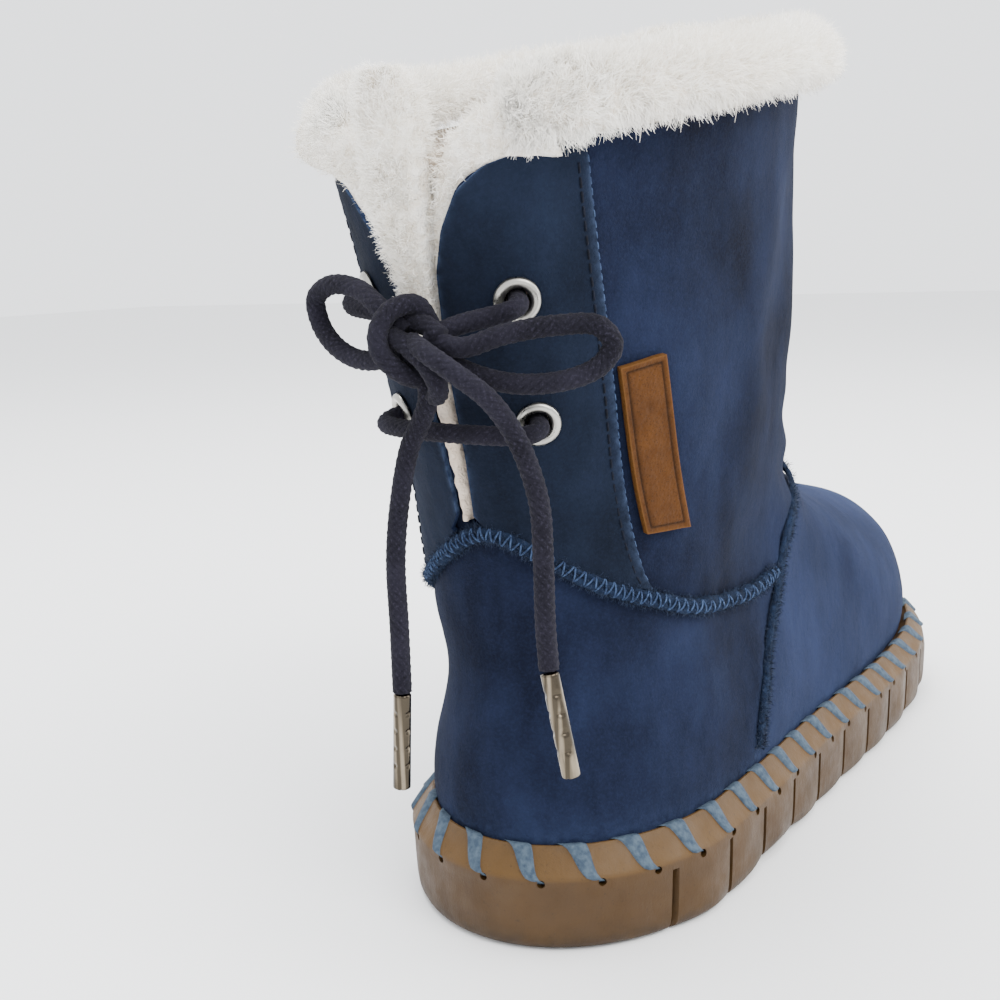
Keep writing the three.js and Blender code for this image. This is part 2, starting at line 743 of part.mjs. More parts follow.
for (let k = 0; k < lockCount; k++) {
  const station = 2 + Math.floor(((k + 0.5) / lockCount) * (cuffStations - 3));
  const { middle, normal, size } = cuffFrames[station];
  const angle = Math.PI * (-0.28 + 1.25 * spread(k * 2 + 1));
  const direction = normal.clone().multiplyScalar(Math.cos(angle)).addScaledVector(upward, Math.sin(angle));
  const reach = (furDepth / 2) * size;
  const root = middle.clone().addScaledVector(direction, reach - lockRooting);
  const radius = cuffLock.radius * (1 + 0.4 * spread(k));
  cuffSolid = cuffSolid.add(furLock(root, direction, { ...cuffLock, radius }));
}
const rimOuter = upperRings(eyestayThickness + 2 * clearance, topLevel - 1, topLevel, levelStep);
const rimInner = upperRings(-wall - clearance, topLevel - 1, topLevel, levelStep);
for (const rings of [rimOuter, rimInner]) {
  rings.push(rings[rings.length - 1].map((p) => new THREE.Vector3(p.x, p.y, p.z + clearance)));
}
// The column's room between the cuff's ends, and the wider room behind the slit for the slab
const columnRoom = 0.8 * slitWidth;
const slabRoom = 1.5 * slitWidth;
const aboveFur = shaftHeight * 1.5;
const columnSpace = prismAlong(
  [
    [slitMiddle - columnRoom, slitBottom],
    [slitMiddle + columnRoom, slitBottom],
    [slitMiddle + columnRoom, aboveFur],
    [slitMiddle - columnRoom, aboveFur],
  ],
  -footHeelReach - backReach,
  -footHeelReach + furDepth / 2,
);
cuffSolid = cuffSolid.subtract(hollowLoft(rimOuter, rimInner)).subtract(columnSpace);
gussetSolid = gussetSolid
  .subtract(flangeRoom)
  .subtract(upperShell(2 * clearance, -wall - clearance).subtract(slitCut))
  .intersect(
    prismAlong(
      [
        [slitMiddle - slabRoom, slitBottom - gussetDrop - clearance],
        [slitMiddle + slabRoom, slitBottom - gussetDrop - clearance],
        [slitMiddle + slabRoom, slabTop],
        [slitMiddle + columnRoom - clearance, slabTop],
        [slitMiddle + columnRoom - clearance, aboveFur],
        [slitMiddle - columnRoom + clearance, aboveFur],
        [slitMiddle - columnRoom + clearance, slabTop],
        [slitMiddle - slabRoom, slabTop],
      ],
      -footHeelReach - backReach,
      -footHeelReach + backDepth,
    ),
  );
addPiece("fur_cuff", cuffSolid, 0xe9e4da, 1, 0);
addPiece("gusset", gussetSolid, 0xe6ddcf, 1, 0);

// Eyelets, each a tube with a rolled lip outside and a flat flange inside
const tubeRadius = eyeletHoleRadius + eyeletTubeWall;
const lipStart = eyeletSeat + clearance;
const flangeRadius = 4.2;
// The flat flange stays clear of the wall's inner curve
const flangeSeat = -wall - clearance - flangeRadius * 0.14;
const eyeletProfile = [
  [eyeletHoleRadius, flangeSeat - eyeletTubeWall],
  [flangeRadius, flangeSeat - eyeletTubeWall],
  [flangeRadius, flangeSeat],
  [tubeRadius, flangeSeat],
  [tubeRadius, lipStart],
  [eyeletRadius, lipStart],
  [eyeletRadius - 0.3, lipStart + eyeletLip * 0.7],
  [eyeletRadius - 1.2, lipStart + eyeletLip],
  [eyeletHoleRadius + 0.2, lipStart + eyeletLip * 0.6],
  [eyeletHoleRadius, flangeSeat - eyeletTubeWall],
];
for (const { name, foot, out } of eyelets) {
  const mesh = new THREE.Mesh(
    lathed(eyeletProfile, 10),
    new THREE.MeshStandardMaterial({ color: 0xa9a9a3, roughness: 0.35, metalness: 1 }),
  );
  mesh.name = name;
  mesh.position.copy(foot);
  mesh.quaternion.setFromUnitVectors(new THREE.Vector3(0, 1, 0), out);
  part.add(mesh);
}

// Leather label, its rear edge at the outer panel's seam
const labelBottom = 92.6;
const labelSteps = 6;
const labelRings = Array.from({ length: labelSteps + 1 }, (_, k) => {
  const share = k / labelSteps;
  const z = labelBottom + labelLength * 0.93 * share;
  const [lowY, lowZ] = edgePoints[0];
  const [highY, highZ] = edgePoints[2];
  const rearY = lowY + ((highY - lowY) * (z - lowZ)) / (highZ - lowZ) + 5 * clearance + 1.2 * (1 - share);
  const frontY = rearY + labelWidth * (0.93 - 0.1 * share);
  const corner = (y, height, offset) => {
    const { level, turn } = placeAt(y, height);
    return onUpper(level, turn, offset);
  };
  const low = 2 * clearance;
  const frontZ = z + 2.2 * share;
  return [
    corner(rearY, z, low),
    corner(rearY, z, low + labelThickness),
    corner(frontY, frontZ, low + labelThickness),
    corner(frontY, frontZ, low),
  ];
});
addPiece("label", filledLoft(labelRings), 0x7a4a26, 0.75, 0);

// The lace. Each stretch of cord is a tube along its own course.
function cordTube(points, radius, steps) {
  const circle = Array.from({ length: cordSides }, (_, i) => {
    const angle = (i / cordSides) * 2 * Math.PI;
    return new THREE.Vector2(radius * Math.cos(angle), radius * Math.sin(angle));
  });
  const path = new THREE.CatmullRomCurve3(points, false, "centripetal");
  const geometry = new THREE.ExtrudeGeometry(new THREE.Shape(circle), {
    steps,
    bevelEnabled: false,
    extrudePath: path,
  });
  return solidFrom(geometry);
}
const at = (x, y, z) => new THREE.Vector3(x, y, z);

// A cord comes out of an eyelet along the hole and turns away over its lip
const laceGrey = 0x2d3442;
const rideHeight = lipStart + eyeletLip + laceRadius * 2 + clearance;
function throughEyelet(name, toward) {
  const { foot, out } = eyelets.find((eyelet) => eyelet.name === name);
  const aside = toward.clone().sub(foot);
  aside.addScaledVector(out, -aside.dot(out)).normalize();
  return [
    foot.clone().addScaledVector(out, -wall - 4),
    foot.clone(),
    foot.clone().addScaledVector(out, rideHeight - laceRadius * 1.2),
    foot.clone().addScaledVector(out, rideHeight - 0.4).addScaledVector(aside, laceRadius * 0.9),
    foot.clone().addScaledVector(out, rideHeight).addScaledVector(aside, laceRadius * 2.2),
  ];
}
const barHeight = 119;
const barMiddle = at(-2.5, upperPoint(placeAt(-beyondEnds, barHeight).level, 0).y, barHeight - 0.5);
barMiddle.y -= rideHeight + 2 * clearance;
const barStart = throughEyelet("eyelet_lateral_lower", barMiddle);
const barEnd = throughEyelet("eyelet_medial_lower", barMiddle);
addPiece(
  "lace_bar",
  cordTube([...barStart, barMiddle, ...barEnd.reverse()], laceRadius, 22),
  laceGrey,
  0.95,
  0,
);

// The knot of the bow: a flat bundle with one upright wrap round it
const knotMiddle = at(3, -59, 138.5);
const knotSize = { across: 7.6, deep: 4.8, high: 6.6 };
const wrapSize = { across: 6.2, deep: 4.6, high: 7.2, cord: 0.36, lean: -0.25, aside: -1.5 };
function knotForm(growth) {
  const ball = new THREE.SphereGeometry(1, 12, 8);
  ball.scale(knotSize.across + growth, knotSize.deep + growth, knotSize.high + growth);
  ball.translate(knotMiddle.x, knotMiddle.y, knotMiddle.z);
  const wrap = new THREE.TorusGeometry(1, wrapSize.cord + growth / wrapSize.deep, 6, 12);
  wrap.rotateY(Math.PI / 2);
  wrap.scale(wrapSize.across + growth, wrapSize.deep + growth, wrapSize.high + growth);
  wrap.rotateY(wrapSize.lean);
  wrap.translate(knotMiddle.x + wrapSize.aside, knotMiddle.y, knotMiddle.z);
  return solidFrom(ball).add(solidFrom(wrap));
}
const knotRoom = knotForm(clearance * 2);
addPiece("lace_knot", knotForm(0), laceGrey, 0.95, 0);

const cords = [
  {
    name: "lace_strand_lateral",
    points: [
      ...throughEyelet("eyelet_lateral_upper", knotMiddle),
      at(9.5, -54, 141.5),
      at(5, -58, 139.5),
    ],
    steps: 12,
  },
  {
    name: "lace_strand_medial",
    points: [
      ...throughEyelet("eyelet_medial_upper", knotMiddle),
      at(-6.5, -53.6, 143),
      at(-1, -56.5, 139.5),
    ],
    steps: 12,
  },
  {
    name: "lace_loop_lateral",
    points: [
      at(5, -60, 139.4),
      at(12, -58.5, 137.3),
      at(20, -56, 139.6),
      at(29, -51, 141),
      at(36.5, -48, 140.6),
      at(39, -47.4, 137),
      at(36.6, -48, 133.2),
      at(31, -50.5, 130.6),
      at(22.5, -54.5, 130),
      at(14, -56.4, 131.8),
      at(6, -57.5, 135.5),
    ],
    steps: 21,
  },
  {
    name: "lace_loop_medial",
    points: [
      at(1, -60, 140.5),
      at(-5, -60.1, 145),
      at(-12, -57.8, 148.9),
      at(-20, -56, 149.8),
      at(-25, -54.6, 147),
      at(-24.6, -54, 141.8),
      at(-20, -55.5, 137.4),
      at(-13.5, -57, 134.8),
      at(-6, -59, 135),
      at(1, -60, 137),
    ],
    steps: 21,
  },
  {
    name: "lace_end_lateral",
    points: [
      at(3, -62, 138.6),
      at(9, -65.4, 136.4),
      at(14.5, -65, 132.8),
      at(20, -62.5, 127.8),
      at(24.2, -59.6, 120),
      at(27.6, -58, 108),
      at(28.2, -58, 96.5),
      at(28.2, -58, 84),
      at(28.7, -58, 74.6),
    ],
    steps: 14,
  },
  {
    name: "lace_end_medial",
    points: [
      at(4, -60, 135),
      at(4.6, -59.5, 127.5),
      at(2.2, -58.6, 122.8),
      at(-1.2, -58, 117.5),
      at(-4.3, -58, 106.3),
      at(-6.1, -58, 93.7),
      at(-6.1, -58, 79),
      at(-6.2, -58, 65.3),
    ],
    steps: 15,
  },
];
// What the knot leaves of a cord, without the slivers between its turns
function clearOfKnot(cord) {
  const bodies = cord.subtract(knotRoom).decompose();
  return bodies.reduce((most, body) => (body.volume() > most.volume() ? body : most));
}
for (const { name, points, steps } of cords) {
  addPiece(name, clearOfKnot(cordTube(points, laceRadius, steps)), laceGrey, 0.95, 0);
}

// Metal tips on the lace's ends
const agletProfile = [
  [0, 0],
  [agletRadius * 0.7, 0],
  [agletRadius, 0.6],
  [agletRadius, agletLength - 0.4],
  [agletRadius * 0.9, agletLength],
  [0, agletLength],
];
for (const [name, from, lean] of [
  ["aglet_lateral", at(28.7, -58, 74.3), at(4.2, 0, -21)],
  ["aglet_medial", at(-6.2, -58, 65.3), at(-1.5, 0, -23)],
]) {
  const mesh = new THREE.Mesh(
    lathed(agletProfile, 10),
    new THREE.MeshStandardMaterial({ color: 0xb4aea6, roughness: 0.3, metalness: 1 }),
  );
  mesh.name = name;
  const direction = lean.normalize();
  mesh.position.copy(from).addScaledVector(direction, clearance);
  mesh.quaternion.setFromUnitVectors(new THREE.Vector3(0, 1, 0), direction);
  part.add(mesh);
}

export default part;
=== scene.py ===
"""The looks of a right-foot mukluk boot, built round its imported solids.

A suede upper with a laced slit down its back, a deep shearling collar and a gum rubber sole.
Everything is in metres in the solids' own frame: +Z up, +Y to the toe, +X to the outer side of the
foot, with the origin on the ground under the middle of the heel.
"""

import logging
import math
from collections.abc import Callable, Sequence
from dataclasses import dataclass, field
from enum import Enum
from typing import NamedTuple

import bmesh
import bpy
import numpy as np
from mathutils import Matrix, Vector, noise


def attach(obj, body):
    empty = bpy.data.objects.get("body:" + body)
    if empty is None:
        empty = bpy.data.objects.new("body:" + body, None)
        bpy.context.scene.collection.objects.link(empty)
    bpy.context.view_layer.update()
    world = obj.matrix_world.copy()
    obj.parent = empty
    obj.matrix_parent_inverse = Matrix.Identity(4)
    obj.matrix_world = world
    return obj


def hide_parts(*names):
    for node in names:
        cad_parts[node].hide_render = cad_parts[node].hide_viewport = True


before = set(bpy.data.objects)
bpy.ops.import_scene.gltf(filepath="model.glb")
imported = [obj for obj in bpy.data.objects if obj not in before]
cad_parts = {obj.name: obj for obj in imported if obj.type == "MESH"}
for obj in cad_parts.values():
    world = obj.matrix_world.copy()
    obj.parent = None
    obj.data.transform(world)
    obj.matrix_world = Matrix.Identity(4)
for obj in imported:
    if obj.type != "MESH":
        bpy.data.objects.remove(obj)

log = logging.getLogger("mukluk")

MILLIMETRE = 0.001
BODY = "root"
UP = Vector((0, 0, 1))
GROOVE_START = -0.016
GROOVE_PITCH = 0.0203

Colour = tuple[float, float, float, float]
Placement = Callable[[float, float], Vector]
Socket = bpy.types.NodeSocket


class Side(Enum):
    """A side of the foot, with the sign of its X."""

    LATERAL = 1
    MEDIAL = -1


class Slot(Enum):
    """The record's material slots."""

    RUBBER = "gum_rubber"
    INSOLE = "insole_fabric"
    SUEDE = "suede"
    SUEDE_DARK = "suede_dark"
    SEAM = "seam_suede"
    FUR = "fur"
    LEATHER = "label_leather"
    EYELET = "eyelet_metal"
    LACE = "lace_cord"
    AGLET = "aglet_metal"


def mm(x: float, y: float, z: float) -> Vector:
    """Returns a point given in millimetres, in metres."""
    return Vector((x, y, z)) * MILLIMETRE


def tone(red: int, green: int, blue: int) -> Colour:
    """Turns a screen colour into the linear one that shaders take.

    Args:
        red: Red, from 0 to 255.
        green: Green, from 0 to 255.
        blue: Blue, from 0 to 255.

    Returns:
        The linear colour with a full alpha.
    """
    linear = [
        c / 12.92 if c <= 0.04045 else ((c + 0.055) / 1.055) ** 2.4
        for c in (red / 255, green / 255, blue / 255)
    ]
    return (*linear, 1.0)


def smooth(share: float) -> float:
    """Eases a share from 0 to 1, level at both ends."""
    s = min(max(share, 0.0), 1.0)
    return s * s * (3 - 2 * s)


def bell(x: float) -> float:
    """Returns a bell curve's height, 1 at its middle."""
    return math.exp(-(x**2))


def curve_value(values: Sequence[float], place: float) -> float:
    """Reads a smooth curve that passes through evenly spaced values.

    Args:
        values: The values at 0, 1, 2 and so on.
        place: Where to read it.

    Returns:
        The curve's value there.
    """
    last = len(values) - 1
    i = min(max(math.floor(place), 0), last - 1)
    t = place - i
    a = values[max(i - 1, 0)]
    b = values[i]
    c = values[i + 1]
    d = values[min(i + 2, last)]
    bend = (d - a + 3 * (b - c)) / 2
    return b + t * ((c - a) / 2 + t * (a - 2.5 * b + 2 * c - 0.5 * d + t * bend))


def line_value(rows: Sequence[tuple[float, float]], place: float) -> float:
    """Reads a table of (place, value) rows by straight lines, level beyond its ends.

    Args:
        rows: The table, its places rising.
        place: Where to read it.

    Returns:
        The value there.
    """
    return float(np.interp(place, [row[0] for row in rows], [row[1] for row in rows]))


def solve(low: float, high: float, too_low: Callable[[float], bool], steps: int = 28) -> float:
    """Halves a range again and again round the value where a test stops being true.

    Args:
        low: A value for which the test is true.
        high: A value for which it is false.
        too_low: The test.
        steps: How many times the range is halved.

    Returns:
        The value found.
    """
    for _ in range(steps):
        middle = (low + high) / 2
        if too_low(middle):
            low = middle
        else:
            high = middle
    return (low + high) / 2


class UpperSection(NamedTuple):
    """One section of the upper, its lengths as shares of the foot's length and shaft's height."""

    back_along: float
    back_up: float
    front_along: float
    front_up: float
    width: float
    foot: float
    heel_round: float
    toe_round: float


UPPER_SECTIONS = (
    UpperSection(0.008, 0.106, 1.0, 0.106, 0.455, 1, 0.17, 0.26),
    UpperSection(0.006, 0.152, 1.006, 0.163, 0.462, 1, 0.18, 0.26),
    UpperSection(0.008, 0.192, 0.99, 0.228, 0.455, 1, 0.19, 0.28),
    UpperSection(0.012, 0.227, 0.947, 0.281, 0.44, 1, 0.2, 0.3),
    UpperSection(0.016, 0.262, 0.872, 0.325, 0.425, 1, 0.21, 0.32),
    UpperSection(0.02, 0.293, 0.787, 0.36, 0.41, 0.9, 0.23, 0.34),
    UpperSection(0.023, 0.328, 0.69, 0.392, 0.4, 0.75, 0.26, 0.36),
    UpperSection(0.025, 0.363, 0.615, 0.425, 0.39, 0.5, 0.3, 0.38),
    UpperSection(0.026, 0.404, 0.57, 0.475, 0.387, 0.25, 0.36, 0.41),
    UpperSection(0.026, 0.452, 0.552, 0.54, 0.395, 0, 0.42, 0.45),
    UpperSection(0.014, 0.525, 0.546, 0.63, 0.413, 0, 0.46, 0.48),
    UpperSection(-0.012, 0.63, 0.544, 0.745, 0.435, 0, 0.49, 0.49),
    UpperSection(-0.042, 0.75, 0.546, 0.874, 0.452, 0, 0.5, 0.5),
    UpperSection(-0.078, 0.875, 0.552, 1.015, 0.468, 0, 0.5, 0.5),
)
TOP_LEVEL = len(UPPER_SECTIONS) - 1
SECTION_VALUES = {
    name: [getattr(section, name) for section in UPPER_SECTIONS]
    for name in UpperSection._fields
}


class PlanRow(NamedTuple):
    """How far the sole's outline reaches to each side, as shares of the ball width."""

    along: float
    outer: float
    inner: float


PLAN_OUTLINE = (
    PlanRow(0, 0.4, 0.35),
    PlanRow(0.13, 0.41, 0.365),
    PlanRow(0.28, 0.44, 0.35),
    PlanRow(0.43, 0.462, 0.36),
    PlanRow(0.6, 0.5, 0.43),
    PlanRow(0.74, 0.515, 0.485),
    PlanRow(0.87, 0.51, 0.5),
    PlanRow(1, 0.49, 0.55),
)
PLAN_OUTER = [row.outer for row in PLAN_OUTLINE]
PLAN_INNER = [row.inner for row in PLAN_OUTLINE]

# The slit's half width as a share of its width, by height above its foot as a share of the shaft
SLIT_OUTLINE = (
    (0.0, 0.12),
    (0.02, 0.18),
    (0.09, 0.25),
    (0.17, 0.31),
    (0.24, 0.39),
    (0.29, 0.5),
    (0.332, 0.76),
    (0.368, 1.16),
    (0.39, 1.65),
    (0.402, 2.2),
)


class Place(NamedTuple):
    """A point of the upper by its section level and its turn round the foot."""

    level: float
    turn: float


@dataclass(frozen=True)
class BootForm:
    """The boot's surfaces, worked out from its driving sizes."""

    sole_length: float = 0.268
    sole_heel_reach: float = 0.040
    sole_ball_width: float = 0.106
    sole_side_height: float = 0.0176
    rim_rise: float = 0.0062
    toe_spring: float = 0.0102
    spring_start: float = 0.129
    spring_curve: float = 1.8
    foot_length: float = 0.258
    foot_heel_reach: float = 0.036
    shaft_height: float = 0.198
    ball_width: float = 0.100
    wall: float = 0.003
    clearance: float = 0.0003
    slit_middle: float = -0.0045
    slit_width: float = 0.0112
    slit_bottom: float = 0.0945
    panel_thickness: float = 0.0012
    sole_heel_round: float = 0.17
    sole_toe_round: float = 0.25

    def spring(self, y: float) -> float:
        """Returns how far the toe spring lifts the sole at a distance along Y."""
        tip = self.sole_length - self.sole_heel_reach
        share = max(0.0, (y - self.spring_start) / (tip - self.spring_start))
        return self.toe_spring * share**self.spring_curve

    def plan_reach(self, y: float) -> tuple[float, float]:
        """Reads the sole's outline.

        Args:
            y: The distance along Y.

        Returns:
            How far the outline reaches to the outer and to the inner side.
        """
        along = min(max((y + self.sole_heel_reach) / self.sole_length, 0.0), 1.0)
        i = 0
        while i < len(PLAN_OUTLINE) - 2 and along > PLAN_OUTLINE[i + 1].along:
            i += 1
        gap = PLAN_OUTLINE[i + 1].along - PLAN_OUTLINE[i].along
        place = i + (along - PLAN_OUTLINE[i].along) / gap
        outer = curve_value(PLAN_OUTER, place) * self.sole_ball_width
        return outer, curve_value(PLAN_INNER, place) * self.sole_ball_width

    @staticmethod
    def section_share(turn: float, heel_round: float, toe_round: float) -> tuple[float, float, int]:
        """Finds how far along a closed section a turn lies, and how wide the section is there.

        Args:
            turn: The turn round the foot, from the back (0) round the outer side.
            heel_round: The share of the length that the rear round end takes.
            toe_round: The share that the front round end takes.

        Returns:
            The share of the length, the share of the full width, and the side's sign.
        """
        turn %= 1.0
        travel = turn * 2 if turn <= 0.5 else 2 - turn * 2
        u = (1 - math.cos(math.pi * travel)) / 2
        heel = max(0.0, 1 - u / heel_round)
        toe = max(0.0, 1 - (1 - u) / toe_round)
        ends = math.sqrt(max(0.0, 1 - heel * heel)) * math.sqrt(max(0.0, 1 - toe * toe))
        return u, ends, 1 if turn <= 0.5 else -1

    def upper_point(self, level: float, turn: float) -> Vector:
        """Finds a point of the upper's outer face.

        Args:
            level: The section level, from the sole (0) to the rim.
            turn: The turn round the foot.

        Returns:
            The point.
        """
        s = {name: curve_value(values, level) for name, values in SECTION_VALUES.items()}
        u, ends, sign = self.section_share(turn, s["heel_round"], s["toe_round"])
        back = s["back_along"] * self.foot_length - self.foot_heel_reach
        front = s["front_along"] * self.foot_length - self.foot_heel_reach
        y = back + (front - back) * u
        z = self.shaft_height * (s["back_up"] + (s["front_up"] - s["back_up"]) * u)
        outer, inner = self.plan_reach(y)
        foot = s["foot"]
        middle = (outer - inner) / 2 * foot
        full = (outer + inner) / self.sole_ball_width
        half = s["width"] * self.ball_width * (foot * full + 1 - foot) * ends
        return Vector((middle + sign * half, y, z + self.spring(y)))

    def upper_normal(self, level: float, turn: float) -> Vector:
        """Returns the outward direction at a point of the upper."""
        step = 0.02
        low = max(level - step, 0.0)
        high = min(level + step, TOP_LEVEL)
        around = self.upper_point(level, turn + step / 4) - self.upper_point(level, turn - step / 4)
        rising = self.upper_point(high, turn) - self.upper_point(low, turn)
        return around.cross(rising).normalized()

    def on_upper(self, place: Place, offset: float) -> Vector:
        """Returns the point that stands that far off the upper."""
        return self.upper_point(*place) + self.upper_normal(*place) * offset

    def place_at(self, y: float, z: float, side: Side = Side.LATERAL) -> Place:
        """Finds the place on a side of the upper with a distance along Y and a height.

        Args:
            y: The distance along Y, held between the section's ends.
            z: The height.
            side: The side of the foot.

        Returns:
            The place.
        """

        def share(level: float) -> tuple[float, float]:
            back = curve_value(SECTION_VALUES["back_along"], level) * self.foot_length
            front = curve_value(SECTION_VALUES["front_along"], level) * self.foot_length
            u = min(max((y + self.foot_heel_reach - back) / (front - back), 0.0), 1.0)
            back_up = curve_value(SECTION_VALUES["back_up"], level)
            rise = back_up + (curve_value(SECTION_VALUES["front_up"], level) - back_up) * u
            reached = back + (front - back) * u - self.foot_heel_reach
            return u, rise * self.shaft_height + self.spring(reached)

        level = solve(0.0, TOP_LEVEL, lambda value: share(value)[1] < z)
        turn = math.acos(1 - 2 * share(level)[0]) / (2 * math.pi)
        return Place(level, turn if side is Side.LATERAL else 1 - turn)

    def level_at(self, turn: float, z: float) -> float:
        """Returns the level whose point at a turn has that height."""
        return solve(0.0, TOP_LEVEL, lambda level: self.upper_point(level, turn).z < z)

    def place_on_back(self, x: float, z: float) -> Place:
        """Finds the place on the upper's back with a distance across and a height.

        Args:
            x: The distance across, to either side.
            z: The height.

        Returns:
            The place.
        """
        sign = 1 if x >= 0 else -1
        turn = solve(
            0.0,
            0.24,
            lambda t: abs(self.upper_point(self.level_at(sign * t, z), sign * t).x) < abs(x),
            24,
        )
        return Place(self.level_at(sign * turn, z), sign * turn)

    def slit_half(self, z: float) -> float:
        """Returns the slit's half width at a height: none below its foot."""
        up = (z - self.slit_bottom) / self.shaft_height
        return 0.0 if up < 0 else self.slit_width * line_value(SLIT_OUTLINE, up)

    def slit_turn(self, level: float, side: Side, more: float = 0.0) -> float:
        """Finds the turn of the slit's edge at a level.

        Args:
            level: The section level.
            side: Which of the two edges.
            more: How much further than the edge.

        Returns:
            The turn, counted from the back towards that side.
        """

        def inside(turn: float) -> bool:
            point = self.upper_point(level, side.value * turn)
            return side.value * (point.x - self.slit_middle) < self.slit_half(point.z) + more

        return solve(-0.08, 0.22, inside)

    def sole_point(self, turn: float, inset: float, z: float, bulge: float = 0.0) -> Vector:
        """Finds a point of the sole's side.

        Args:
            turn: The turn round the sole.
            inset: How far it lies inside the sole's widest line.
            z: The height above the sole's underside.
            bulge: How far each lug swells there.

        Returns:
            The point, lifted by the toe spring.
        """
        u, ends, sign = self.section_share(turn, self.sole_heel_round, self.sole_toe_round)
        y = inset - self.sole_heel_reach + (self.sole_length - inset * 2) * u
        outer, inner = self.plan_reach(y)
        lugs = max(y - GROOVE_START, 0.0) / GROOVE_PITCH
        swell = abs(math.sin(math.pi * lugs))
        half = max((outer + inner) / 2 - inset + bulge * swell, 0.001) * ends
        return Vector(((outer - inner) / 2 + sign * half, y, z + self.spring(y)))


FORM = BootForm()


class NodeBoard:
    """One material's nodes, placed and joined by short calls."""

    def __init__(self, name: str, base: Colour, roughness: float, metallic: float = 0.0) -> None:
        """Starts a material with an even finish.

        Args:
            name: The material's name.
            base: Its colour.
            roughness: Its roughness.
            metallic: 1 for a metal.
        """
        self.material = bpy.data.materials.new(name)
        self.material.use_nodes = True
        self.nodes = self.material.node_tree.nodes
        self.links = self.material.node_tree.links
        self.shader = self.nodes["Principled BSDF"]
        self.fix("Base Color", base)
        self.fix("Roughness", roughness)
        self.fix("Metallic", metallic)
        self.where = self.nodes.new("ShaderNodeTexCoord").outputs["Object"]

    def fix(self, name: str, value: float | Sequence[float]) -> None:
        """Sets one of the shader's own sockets."""
        self.shader.inputs[name].default_value = value

    def feed(self, name: str, source: Socket) -> None:
        """Joins a source to one of the shader's sockets."""
        self.links.new(source, self.shader.inputs[name])

    def _join(self, socket: Socket, value: object) -> None:
        """Gives a socket a value, or joins it to a source."""
        if isinstance(value, bpy.types.NodeSocket):
            self.links.new(value, socket)
        else:
            socket.default_value = value

    def stretched(self, scale: Sequence[float]) -> Socket:
        """Returns coordinates scaled by a different amount along each axis."""
        node = self.nodes.new("ShaderNodeMapping")
        node.inputs["Scale"].default_value = scale
        self.links.new(self.where, node.inputs["Vector"])
        return node.outputs["Vector"]

    def attribute(self, name: str) -> Socket:
        """Returns a piece's own attribute."""
        node = self.nodes.new("ShaderNodeAttribute")
        node.attribute_name = name
        return node.outputs["Fac"]

    def noise(
        self,
        scale: float,
        detail: float = 3.0,
        rough: float = 0.55,
        where: Socket | None = None,
    ) -> Socket:
        """Adds a noise texture.

        Args:
            scale: Its scale, per metre on the piece.
            detail: How many finer layers it has.
            rough: How strong those are.
            where: Its coordinates, the piece's own unless others are given.

        Returns:
            The noise, from 0 to 1.
        """
        node = self.nodes.new("ShaderNodeTexNoise")
        node.inputs["Scale"].default_value = scale
        node.inputs["Detail"].default_value = detail
        node.inputs["Roughness"].default_value = rough
        self.links.new(where or self.where, node.inputs["Vector"])
        return node.outputs["Fac"]

    def cells(self, scale: float) -> Socket:
        """Returns the distance to the nearest of many scattered points."""
        node = self.nodes.new("ShaderNodeTexVoronoi")
        node.inputs["Scale"].default_value = scale
        self.links.new(self.where, node.inputs["Vector"])
        return node.outputs["Distance"]

    def levels(
        self, source: Socket, low: float, high: float, least: float = 0.0, most: float = 1.0
    ) -> Socket:
        """Spreads a range of a source over another range.

        Args:
            source: What is spread.
            low: The value that becomes least.
            high: The value that becomes most.
            least: The lowest result.
            most: The highest result.

        Returns:
            The spread value.
        """
        node = self.nodes.new("ShaderNodeMapRange")
        self.links.new(source, node.inputs["Value"])
        names = ("From Min", "From Max", "To Min", "To Max")
        for name, value in zip(names, (low, high, least, most)):
            node.inputs[name].default_value = value
        return node.outputs["Result"]

    def blend(self, share: object, first: object, second: object, how: str = "MIX") -> Socket:
        """Mixes two colours.

        Args:
            share: How much of the second.
            first: The first colour.
            second: The second colour.
            how: The way that they are mixed.

        Returns:
            The mixed colour.
        """
        node = self.nodes.new("ShaderNodeMix")
        node.data_type = "RGBA"
        node.blend_type = how
        self._join(node.inputs["Factor"], share)
        self._join(node.inputs[6], first)
        self._join(node.inputs[7], second)
        return node.outputs[2]

    def maths(self, how: str, first: object, second: object = 0.0) -> Socket:
        """Returns the result of a sum, product or other rule on two values."""
        node = self.nodes.new("ShaderNodeMath")
        node.operation = how
        self._join(node.inputs[0], first)
        self._join(node.inputs[1], second)
        return node.outputs[0]

    def bump(self, height: Socket, distance: float, under: Socket | None = None) -> Socket:
        """Returns a normal bumped by a height, in metres, over another bump if one is given."""
        node = self.nodes.new("ShaderNodeBump")
        node.inputs["Distance"].default_value = distance
        self.links.new(height, node.inputs["Height"])
        if under is not None:
            self.links.new(under, node.inputs["Normal"])
        return node.outputs["Normal"]


